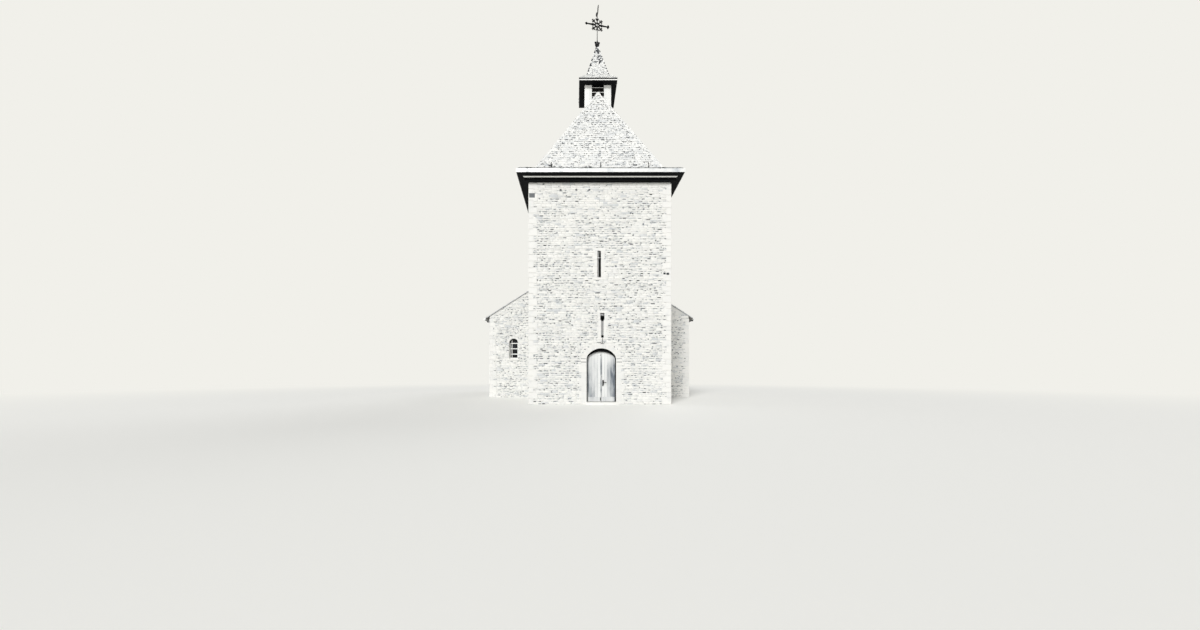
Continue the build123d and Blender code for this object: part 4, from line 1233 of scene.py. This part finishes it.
gutterLook = {"every": 0.66, "naveEvery": 0.8, "half": 0.012, "inner": 0.4, "outer": 0.505,
              "naveOuter": 0.36, "naveLow": 4.7, "naveHigh": 4.74}
brackets = []
for face in (frontFace, rightFace, backFace, leftFace):
    brackets.append(midBlocks(face, np.arange(0.1, towerWide, gutterLook["every"]), gutterLook["half"],
                              gutterFoot - 0.03, gutterFoot + 0.002, gutterLook["inner"],
                              gutterLook["outer"], 0.002))
for face in (naveRightFace, naveLeftFace):
    brackets.append(midBlocks(face, np.arange(0.3, naveLong, gutterLook["naveEvery"]), gutterLook["half"],
                              gutterLook["naveLow"], gutterLook["naveHigh"], 0.0,
                              gutterLook["naveOuter"], 0.002))
addPiece("gutterBrackets", brackets, wroughtIron)

# A moulding under the soffit, white in front and black on its other sides as painted shade, its outline as
# half widths and heights.
mouldingLine = ((3.436, 10.308), (3.446, 10.308), (3.462, 10.313), (3.478, 10.322), (3.49, 10.332),
                (3.496, 10.338), (3.496, 10.3445), (3.436, 10.3445))
mouldingRings = [squareCorners(towerX, towerY, half, height) for half, height in mouldingLine]
mouldingFaces = [face[::-1] for face in tubeFaces(len(mouldingLine), 2)]
mouldingRuns = [([[ring[i] for ring in mouldingRings] + [ring[(i + 1) % 4] for ring in mouldingRings]],
                 mouldingFaces, 0.0) for i in range(4)]
addPiece("corniceMoulding", mouldingRuns[:1], whiteBead, hides=["cornice_bead"])
# Painted shade: the side runs are black.
addPiece("corniceMouldingShadedSides", mouldingRuns[1:], blackTimberAndShade)

# The turret's corner boards, cut to the roof's slope at the foot, and dark strips of painted shade at the top
# and the foot of its eaves' fascia.
turretLook = {"panel": 0.367, "boards": 3, "joint": 0.005, "proud": 0.008, "slopeBelow": 1.77}
boardWide = turretLook["panel"] / turretLook["boards"]
boardStarts = np.arange(turretLook["boards"]) * boardWide
boardStarts = np.concatenate([boardStarts, 2 * turretHalf - turretLook["panel"] + boardStarts])
boards, eaveShadeStrips = [], []
for i, face in enumerate(squareFaces(turretX, towerY, turretHalf)):
    left, right = boardStarts + turretLook["joint"] / 2, boardStarts + boardWide - turretLook["joint"] / 2
    outline = rectangles(left, right, turretLow[2], turretHigh[2] - 0.002)
    for corner, end in enumerate((left, right)):
        away = np.abs(end - turretHalf) if i % 2 == 0 else turretHalf
        outline[:, corner, 1] = roofHigh[2] - 0.04 - turretLook["slopeBelow"] * away
    boards.append(slabs(face, outline, turretLook["proud"], -0.01, 0.003, dice.uniform(0, 0.8, len(left))))
# Painted shade: a dark strip under the slates' edge and one along the fascia's foot.
for face in squareFaces(turretX, towerY, eavesHalf):
    eaveShadeStrips.append(midBlocks(face, eavesHalf, eavesHalf + 0.006, np.array((eavesHigh[2] - 0.055, eavesLow[2])),
                           np.array((eavesHigh[2] - 0.002, eavesLow[2] + 0.035)), -0.01, 0.006, 0.002))
addPiece("turretBoards", boards, whiteTimberWithShade)
addPiece("turretEaveShade", eaveShadeStrips, blackTimberAndShade)
print("eaves and turret finished")

# The cross is drawn in its own plane about its middle, then turned about the spire's axis.
crossLook = {"turn": 11, "middle": 20.43, "top": 20.75, "span": 0.69, "ring": 0.135, "thicken": 1.8}
pinLook = {"foot": 20.77, "radius": 0.011, "above": 0.1}


def inCross(points):
    turn, points = math.radians(crossLook["turn"]), np.array(points, float)
    return np.stack([turretX + points[:, 0] * math.cos(turn), towerY + points[:, 0] * math.sin(turn),
                     crossLook["middle"] + points[:, 1]], -1)


def crossBar(points, radii, sides=8):
    return bar(inCross(points), np.array(radii) * crossLook["thicken"], sides)


def crossKnob(across, up, radius, sides=12):
    return knob(inCross([(across, up)])[0], radius, sides)


# A curl at the end of a diagonal shoot, in the quarter given by two signs.
def crossCurl(across, rise, swap):
    points = []
    for t in np.linspace(0, 1, 12):
        angle, radius = 3.6 * t, 0.05 * (1 - 0.55 * t)
        out = 0.2 + 0.035 * t + radius * math.sin(angle)
        up = 0.255 - 0.055 * math.cos(angle) * (1 - 0.3 * t)
        points.append((across * (up if swap else out), rise * (out if swap else up)))
    return crossBar(points, np.linspace(0.014, 0.008, 12))


# The four diagonal shoots, each with two curls and two knobs on stems.
def crossShoots():
    parts = []
    for across, rise in ((-1, -1), (-1, 1), (1, -1), (1, 1)):
        shoot = ((0.075, 0.075), (0.14, 0.15), (0.2, 0.2))
        parts.append(crossBar([(across * x, rise * y) for x, y in shoot], [0.018, 0.016, 0.015]))
        parts += [crossCurl(across, rise, swap) for swap in (False, True)]
        for stem, tip in (((0.15, 0.16), (0.15, 0.25)), ((0.16, 0.15), (0.25, 0.15))):
            parts.append(crossBar([(across * x, rise * y) for x, y in (stem, tip)], 0.006))
            parts.append(crossKnob(across * tip[0], rise * tip[1], 0.036, 10))
    return parts


# The arms, with a leaf-shaped head at one end and a fork of two petals at the other.
def crossArms():
    parts, span = [], crossLook["span"]
    bends, petals = np.linspace(0, 1, 7), np.linspace(0, 1, 8)
    for side in (-1, 1):
        parts.append(crossBar([(side * x, 0) for x in (0.12, 0.3, span - 0.12)], [0.022, 0.02, 0.015]))
        parts.append(crossKnob(side * 0.31, 0, 0.042))
        for fork in (-1, 1):
            bend = [(side * (0.19 + 0.1 * t), fork * (0.012 + 0.05 * math.sin(math.pi * t))) for t in bends]
            parts.append(crossBar(bend, np.linspace(0.013, 0.008, 7)))
    parts.append(crossBar([(span - x, 0) for x in (0.135, 0.1, 0.06, 0)], [0.016, 0.05, 0.042, 0.003], 10))
    parts.append(crossBar([(x - span, 0) for x in (0.13, 0.06, 0)], [0.014, 0.02, 0.003]))
    for fork in (-1, 1):
        petal = [(0.13 - span - 0.075 * t, fork * 0.055 * math.sin(0.8 * math.pi * t)) for t in petals]
        parts.append(crossBar(petal, np.linspace(0.016, 0.006, 8)))
    return parts


def makeCross():
    foot, top = ballTop - crossLook["middle"] - 0.01, crossLook["top"] - crossLook["middle"]
    pole = inCross([(0, foot), (0, foot + 0.1), (0, -0.3), (0, top)])
    parts = [bar(pole, [0.034, 0.019, 0.017, 0.019], 12)]
    ring = crossLook["ring"]
    ringCorners = [(ring, 0), (0, ring), (-ring, 0), (0, -ring)]
    parts += [crossBar([a, b], 0.017) for a, b in zip(ringCorners, ringCorners[1:] + ringCorners[:1])]
    for side in (-1, 1):
        parts.append(crossKnob(side * 0.105, foot - 0.05, 0.048))
        for low, high in ((0.2, 0.33), (-0.16, -0.27)):
            shoot = [(0, low), (side * 0.035, (low + high) / 2), (side * 0.06, high)]
            parts.append(crossBar(shoot, [0.012, 0.013, 0.012]))
            parts.append(crossKnob(side * 0.065, high, 0.032))
    foot, top, radius = pinLook["foot"], pinLook["foot"] + pinLook["above"], pinLook["radius"]
    collar = [(0.03, foot - 0.03), (0.032, foot - 0.02), (0.032, foot - 0.005), (0.02, foot)]
    pin = [(radius, foot - 0.01), (radius, top - 0.005), (0.007, top)]
    parts += crossArms() + crossShoots()
    parts += [turned((turretX, towerY), collar, 16), turned((turretX, towerY), pin, 12)]
    addPiece("ironCross", parts, wroughtIron, hides=["spire_cross"], smooth=40)


makeCross()

# The cock's outline and wing in parts of 1280 to the metre, down from its top.
cockLook = {"turn": -75, "scale": 1 / 1280, "plate": 0.011, "wing": 0.009, "foot": 20.884,
            "socketTop": 20.888}
cockOutline = ((-30, -640), (-20, -560), (-110, -520), (-175, -440), (-200, -340), (-205, -270),
               (-250, -240), (-300, -250), (-262, -205), (-240, -150), (-190, -125), (-140, -160),
               (-125, -230), (-80, -300), (0, -330), (60, -290), (80, -200), (110, -90), (180, -10),
               (250, 0), (300, -60), (255, -110), (285, -190), (235, -220), (255, -300), (200, -330),
               (205, -410), (140, -450), (90, -520), (20, -560), (30, -640))
cockWing = ((-110, -330), (-40, -350), (50, -340), (130, -370), (150, -430), (60, -460), (-40, -450),
            (-100, -400))


# A closed line through the given points with rounded bends.
def rounded(points, steps=3):
    points = np.array(points, float)
    before, after, beyond = np.roll(points, 1, 0), np.roll(points, -1, 0), np.roll(points, -2, 0)
    first, second = after - before, 2 * before - 5 * points + 4 * after - beyond
    third = 3 * points - before - 3 * after + beyond
    steps = np.arange(steps) / steps
    found = [points + 0.5 * (first * t + second * t ** 2 + third * t ** 3) for t in steps]
    return np.stack(found, 1).reshape(-1, 2)


def makeCock():
    turn = math.radians(cockLook["turn"])
    x, y = math.cos(turn), math.sin(turn)
    face = makeFace((turretX, towerY, 0), (x, y, 0), (y, -x, 0))
    half, highest = cockLook["plate"], cockTop - 0.0005
    outline = rounded(cockOutline) * cockLook["scale"] + (0, cockTop)
    outline[:, 1] = np.clip(outline[:, 1], cockLook["foot"], highest)
    keep = np.linalg.norm(outline - np.roll(outline, 1, 0), axis=1) > 0.002
    plate, sides, tint = slabs(face, outline[keep][None], half, -half, 0.002)
    plate[..., 2] = np.minimum(plate[..., 2], highest)
    wing = rounded(cockWing)[::-1][None] * cockLook["scale"] + (0, cockTop)
    wing = slabs(face, wing, half + cockLook["wing"], -half - cockLook["wing"], 0.006)
    foot, top, bore = pinLook["foot"] + 0.001, cockLook["socketTop"], pinLook["radius"] + 0.0005
    profile = [(bore, foot), (0.02, foot), (0.02, top - 0.006), (0.013, top), (0.0006, top + 0.002),
               (0.0006, top - 0.014), (bore, top - 0.015)]
    parts = [(plate, sides, tint), wing, turned((turretX, towerY), profile, 16, True)]
    addPiece("cockPlate", parts, wroughtIron, "cock", ["weathercock"])


makeCock()
print("ironwork made")

# The tint of each leaf's boards, then wear and stain up their height: pairs of height and strength.
leafLook = {"boards": 5, "thick": 0.022, "joint": 0.005, "strip": 0.036, "stripPeak": 2.418,
            "stripSlope": 1.6, "kick": 0.33, "grow": 0.034,
            "left": (0.05, 0.2, 0.35, 0.45, 0.62), "right": (0.05, 0.15, 0.38, 0.62, 0.75),
            "wear": ((0.12, 1.2), (0.4, 1.1), (0.8, 0.9), (1.3, 1.15), (1.7, 1.0), (2.0, 0.7), (2.6, 0.5)),
            "stain": ((0.33, 0.3), (0.56, 0.5), (0.62, 1.3), (0.72, 1.2), (0.8, 0.7), (1.08, 0.7),
                      (1.16, 0.2), (1.34, 0.15), (1.42, 0.8), (2.15, 0.8), (2.26, 0.3), (2.33, 0.0)),
            "ledges": (0.48, 1.78), "brace": ((0.06, 0.6), (0.16, 0.6), (0.66, 1.66), (0.56, 1.66))}
leafFace = makeFace((doorX, leafLow[1], 0), (1, 0, 0), (0, -1, 0))


# An upright board on the door, its head cut to a line, with a tint that changes up its length.
def makeBoard(ends, low, head, back, front, tint, wear, soft=0.0035):
    left, right = ends
    profile = [(left, front - soft), (left + soft, front), (right - soft, front), (right, front - soft),
               (right, back), (left, back)]
    steps = np.linspace(0, 1, 14)
    rings = [onFace(leafFace, [(x, low + (head(x) - low) * step) for x, _ in profile],
                    np.array([out for _, out in profile])) for step in steps]
    levels = np.interp(low + (head((left + right) / 2) - low) * steps, *zip(*wear))
    return loft(rings, np.clip(tint * levels * dice.uniform(0.85, 1.15, len(steps)), 0, 1))


def leafHead(across):
    return archHeight(doorArch, across, leafLook["grow"])


def stripHead(across):
    return leafLook["stripPeak"] - leafLook["stripSlope"] * abs(across)


def makeLeaf(name, side, tints):
    parts, inner, outer = [], 0.008, doorwayLook["half"] + 0.035
    foot, thick, wide = leafLow[2] + 0.002, leafLook["thick"], (outer - inner) / leafLook["boards"]
    for index, tint in enumerate(tints):
        left, right = spanOf(0, side, inner + wide * index, inner + wide * (index + 1))
        ends = left + leafLook["joint"] / 2, right - leafLook["joint"] / 2
        parts.append(makeBoard(ends, foot, leafHead, -thick, 0.0, tint, leafLook["wear"]))
    left, right = spanOf(0, side, inner + 0.001, outer - 0.001)
    backing = [(left, foot), (right, foot)]
    backing += [(x, leafHead(x) - 0.002) for x in np.linspace(right, left, 12)]
    parts.append(slabs(leafFace, [backing], -thick + 0.002, -0.04, 0.001, 1.0))
    for height in leafLook["ledges"]:
        parts.append(faceBlocks(leafFace, left + 0.045, right - 0.045, height - 0.075, height + 0.075,
                                -0.07, -0.039, 0.006, 0.4))
    brace = [(side * across, height) for across, height in leafLook["brace"]][::side]
    parts.append(slabs(leafFace, [brace], -0.041, -0.066, 0.001, 0.4))
    ends, kick = spanOf(0, side, inner, inner + leafLook["strip"]), leafLook["kick"]
    parts.append(makeBoard(ends, kick + 0.01, stripHead, -0.002, 0.012, 0.75, leafLook["stain"], 0.004))
    ends = spanOf(0, side, inner + 0.002, 0.62)
    parts.append(makeBoard(ends, foot + 0.002, always(kick), -0.002, 0.016, 0.25, leafLook["wear"], 0.005))
    hand = name.lower()
    addPiece("doorBoards" + name, parts, doorWood, hand + "_leaf", ["door_leaf_" + hand])


makeLeaf("Left", -1, leafLook["left"])
makeLeaf("Right", 1, leafLook["right"])

# The ring and the plate on the left leaf, the lock's rose and the handle's plate on the right one.
ringLook = {"across": -0.026, "up": 2.265, "half": 0.02, "high": 0.022, "out": 0.018, "thick": 0.0045}
turns = np.linspace(0, 2 * math.pi * 0.93, 14)
ringPath = np.stack([ringLook["across"] + ringLook["half"] * np.sin(turns),
                     ringLook["up"] + ringLook["high"] * np.cos(turns)], -1)
ironLeft = [bar(onFace(leafFace, ringPath, ringLook["out"]), ringLook["thick"], 6),
            bar(onFace(leafFace, [(ringLook["across"], 2.29)] * 2, (0.0, 0.024)), 0.006, 8),
            faceBlocks(leafFace, -0.05, -0.02, 0.16, 0.3, 0.015, 0.024, 0.002)]
addPiece("doorIronLeft", ironLeft, wroughtIron, "left_leaf", smooth=50)
handlePlate = [(0.058, 0.84), (0.085, 0.815), (0.112, 0.84), (0.112, 0.895), (0.058, 0.895)]
ironRight = [bar(onFace(leafFace, [(0.03, 1.26)] * 2, (0.008, 0.026)), (0.016, 0.012), 10),
             slabs(leafFace, [handlePlate], 0.006, -0.001, 0.001)]
addPiece("doorIronRight", ironRight, wroughtIron, "right_leaf", smooth=50)
print("door made")

frameLook = {"wide": 0.055, "rows": (2.62, 2.95, 3.28), "rail": 0.06, "mullion": -0.125,
             "mullionHalf": 0.02, "thick": 0.032, "headWide": 0.055}


def windowFrame(face, middle):
    look, low, spring, half = frameLook, windowLook["low"], windowLook["spring"], windowLook["half"]
    ends = [(-half, -half + look["wide"], low, spring), (half - look["wide"], half, low, spring),
            (-half, half, low, low + look["rail"]),
            (look["mullion"] - look["mullionHalf"], look["mullion"] + look["mullionHalf"], low, spring + 0.2)]
    ends += [(-half, half, row, row + look["rail"]) for row in look["rows"]]
    left, right, foot, head = np.array(ends).T
    steps = (0, 0, 0.002, -0.006, -0.003, -0.003, -0.003)  # no two crossing bars share a face
    front = windowLook["frameOut"] + np.array(steps)
    back = windowLook["frameOut"] - look["thick"]
    return faceBlocks(face, middle + left + 0.001, middle + right - 0.001, foot, head, back, front, 0.004,
                      dice.uniform(0, 0.7, len(ends)))


def windowHead(face, middle):
    ring = wedges(windowArch, 7, -0.001, middle, 0.0005, -frameLook["headWide"])
    return slabs(face, ring, windowLook["frameOut"], windowLook["frameOut"] - frameLook["thick"], 0.003)


windowPlaces = [(face, middle) for face in (naveWestFace, naveEastFace) for middle in endMiddles]
windowPlaces += [(naveRightFace, middle) for middle in sideWindows]
windowPlaces += [(naveLeftFace, naveLong - middle) for middle in sideWindows]
addPiece("windowBars", [windowFrame(*place) for place in windowPlaces], whiteTimberWithShade)
addPiece("windowHeads", [windowHead(*place) for place in windowPlaces], blackTimberAndShade)

# A cross bar and an upright rod in the slit; a bar and close ribs in the loop. A bar is two heights.
barLook = {"slitBar": (6.7, 6.72), "loopBar": (4.075, 4.105), "ribsFrom": 3.19, "ribsTo": 3.82,
           "ribEvery": 0.05, "ribHigh": 0.022}
slitMiddle, slitEnds = slitLook["middle"], (slitLook["low"], slitLook["high"])
ribs = np.arange(barLook["ribsFrom"], barLook["ribsTo"], barLook["ribEvery"])
slitBars = [midBlocks(frontFace, slitMiddle, 0.11, *barLook["slitBar"], 0.012, 0.03),
            midBlocks(frontFace, slitMiddle - 0.0265, 0.0085, *slitEnds, -0.1, -0.08),
            midBlocks(frontFace, loopMiddle, 0.1, *barLook["loopBar"], -0.02, 0.028),
            midBlocks(frontFace, loopMiddle, 0.06, ribs, ribs + barLook["ribHigh"], -0.08, -0.02, 0.002)]
addPiece("slitBars", slitBars, zinc)

# The rod under the loop with its small foot, and the iron block it hangs from.
rodLook = {"heights": (3.08, 2.95, 2.8), "foot": ((-0.08, 2.775), (0, 2.795), (0.08, 2.775)),
           "out": 0.035, "radius": 0.009, "footRadius": 0.011, "blockTop": 3.16, "blockHalf": 0.056}
rodPath = [(loopMiddle, height) for height in rodLook["heights"]]
rodFoot = [(loopMiddle + across, height) for across, height in rodLook["foot"]]
rods = [midBlocks(frontFace, loopMiddle, rodLook["blockHalf"], loopLook["low"], rodLook["blockTop"],
                  -0.05, 0.004, 0.002),
        bar(onFace(frontFace, rodPath, rodLook["out"]), rodLook["radius"], 8),
        bar(onFace(frontFace, rodFoot, rodLook["out"]), rodLook["footRadius"], 8)]
addPiece("loopRod", rods, wroughtIron)
print("windows and slits finished")

stageLook = {"backdrop": (241, 240, 234), "floor": (250, 250, 246), "clearTo": 15, "fadesBy": 45,
             "far": 600}
light = {"sky": 0.46, "key": 2.2, "keyLeft": 19, "keyUp": 31, "keySoftness": 16, "fill": 0.5,
         "fillLeft": -145, "fillUp": 35, "fillSoftness": 30}
view = {"across": -1.062, "away": 17.2, "height": 1.3, "lens": 11.25, "shiftAcross": 0.0194,
        "shiftUp": 0.0508}


def addToScene(name, data):
    thing = bpy.data.objects.new(name, data)
    bpy.context.scene.collection.objects.link(thing)
    return thing


# Closes a tree with a blend of two shaders.
def blendShaders(tree, mask, near, far, output):
    blend = addNode(tree, "ShaderNodeMixShader", (mask, near.outputs[0], far.outputs[0]))
    addNode(tree, output, [blend.outputs[0]])


# The floor fades into the backdrop with the distance.
def makeFloor():
    mesh, far = bpy.data.meshes.new("ground"), stageLook["far"]
    mesh.from_pydata([(-far, -far, 0), (far, -far, 0), (far, far, 0), (-far, far, 0)], [], [(0, 1, 2, 3)])
    addToScene("ground", mesh)
    material = bpy.data.materials.new("groundPaper")
    material.use_nodes = True
    tree = material.node_tree
    tree.nodes.clear()
    near = addNode(tree, "ShaderNodeBsdfDiffuse", {"Color": stageLook["floor"]})
    paper = addNode(tree, "ShaderNodeEmission", {"Color": stageLook["backdrop"]})
    away = addNode(tree, "ShaderNodeVectorMath", [placeOf(tree)], operation="LENGTH").outputs["Value"]
    blendShaders(tree, between(tree, away, stageLook["clearTo"], stageLook["fadesBy"]), near, paper,
                 "ShaderNodeOutputMaterial")
    mesh.materials.append(material)


# The camera, mirrors and glass see the backdrop; all else is lit by an even sky.
def makeSky():
    world = bpy.data.worlds.new("studio")
    bpy.context.scene.world = world
    world.use_nodes = True
    tree = world.node_tree
    tree.nodes.clear()
    path = addNode(tree, "ShaderNodeLightPath").outputs
    seen = compute(tree, "MAXIMUM", path["Is Camera Ray"], path["Is Glossy Ray"])
    seen = compute(tree, "MAXIMUM", seen, path["Is Transmission Ray"])
    glow = addNode(tree, "ShaderNodeBackground", {"Strength": light["sky"]})
    paper = addNode(tree, "ShaderNodeBackground", {"Color": stageLook["backdrop"]})
    blendShaders(tree, seen, glow, paper, "ShaderNodeOutputWorld")


# A lamp far away, so many degrees left of the front and up.
def addLamp(name):
    lamp = bpy.data.lights.new(name, "SUN")
    lamp.energy, lamp.angle = light[name], math.radians(light[name + "Softness"])
    turn, rise = math.radians(light[name + "Left"]), math.radians(light[name + "Up"])
    towards = Vector((-math.sin(turn) * math.cos(rise), -math.cos(turn) * math.cos(rise), math.sin(rise)))
    addToScene(name, lamp).rotation_euler = towards.to_track_quat("Z", "Y").to_euler()


makeFloor()
makeSky()
addLamp("key")
addLamp("fill")
camera = addToScene("camera", bpy.data.cameras.new("camera"))
camera.data.sensor_width = 36
camera.data.lens = view["lens"]
camera.data.shift_x, camera.data.shift_y = view["shiftAcross"], view["shiftUp"]
camera.data.clip_end = 2000
camera.location = (towerX + view["across"], towerFront - view["away"], view["height"])
camera.rotation_euler = (math.radians(90), 0, 0)
bpy.context.scene.camera = camera
bpy.context.scene.view_settings.view_transform = "Standard"
print("stage and camera set")
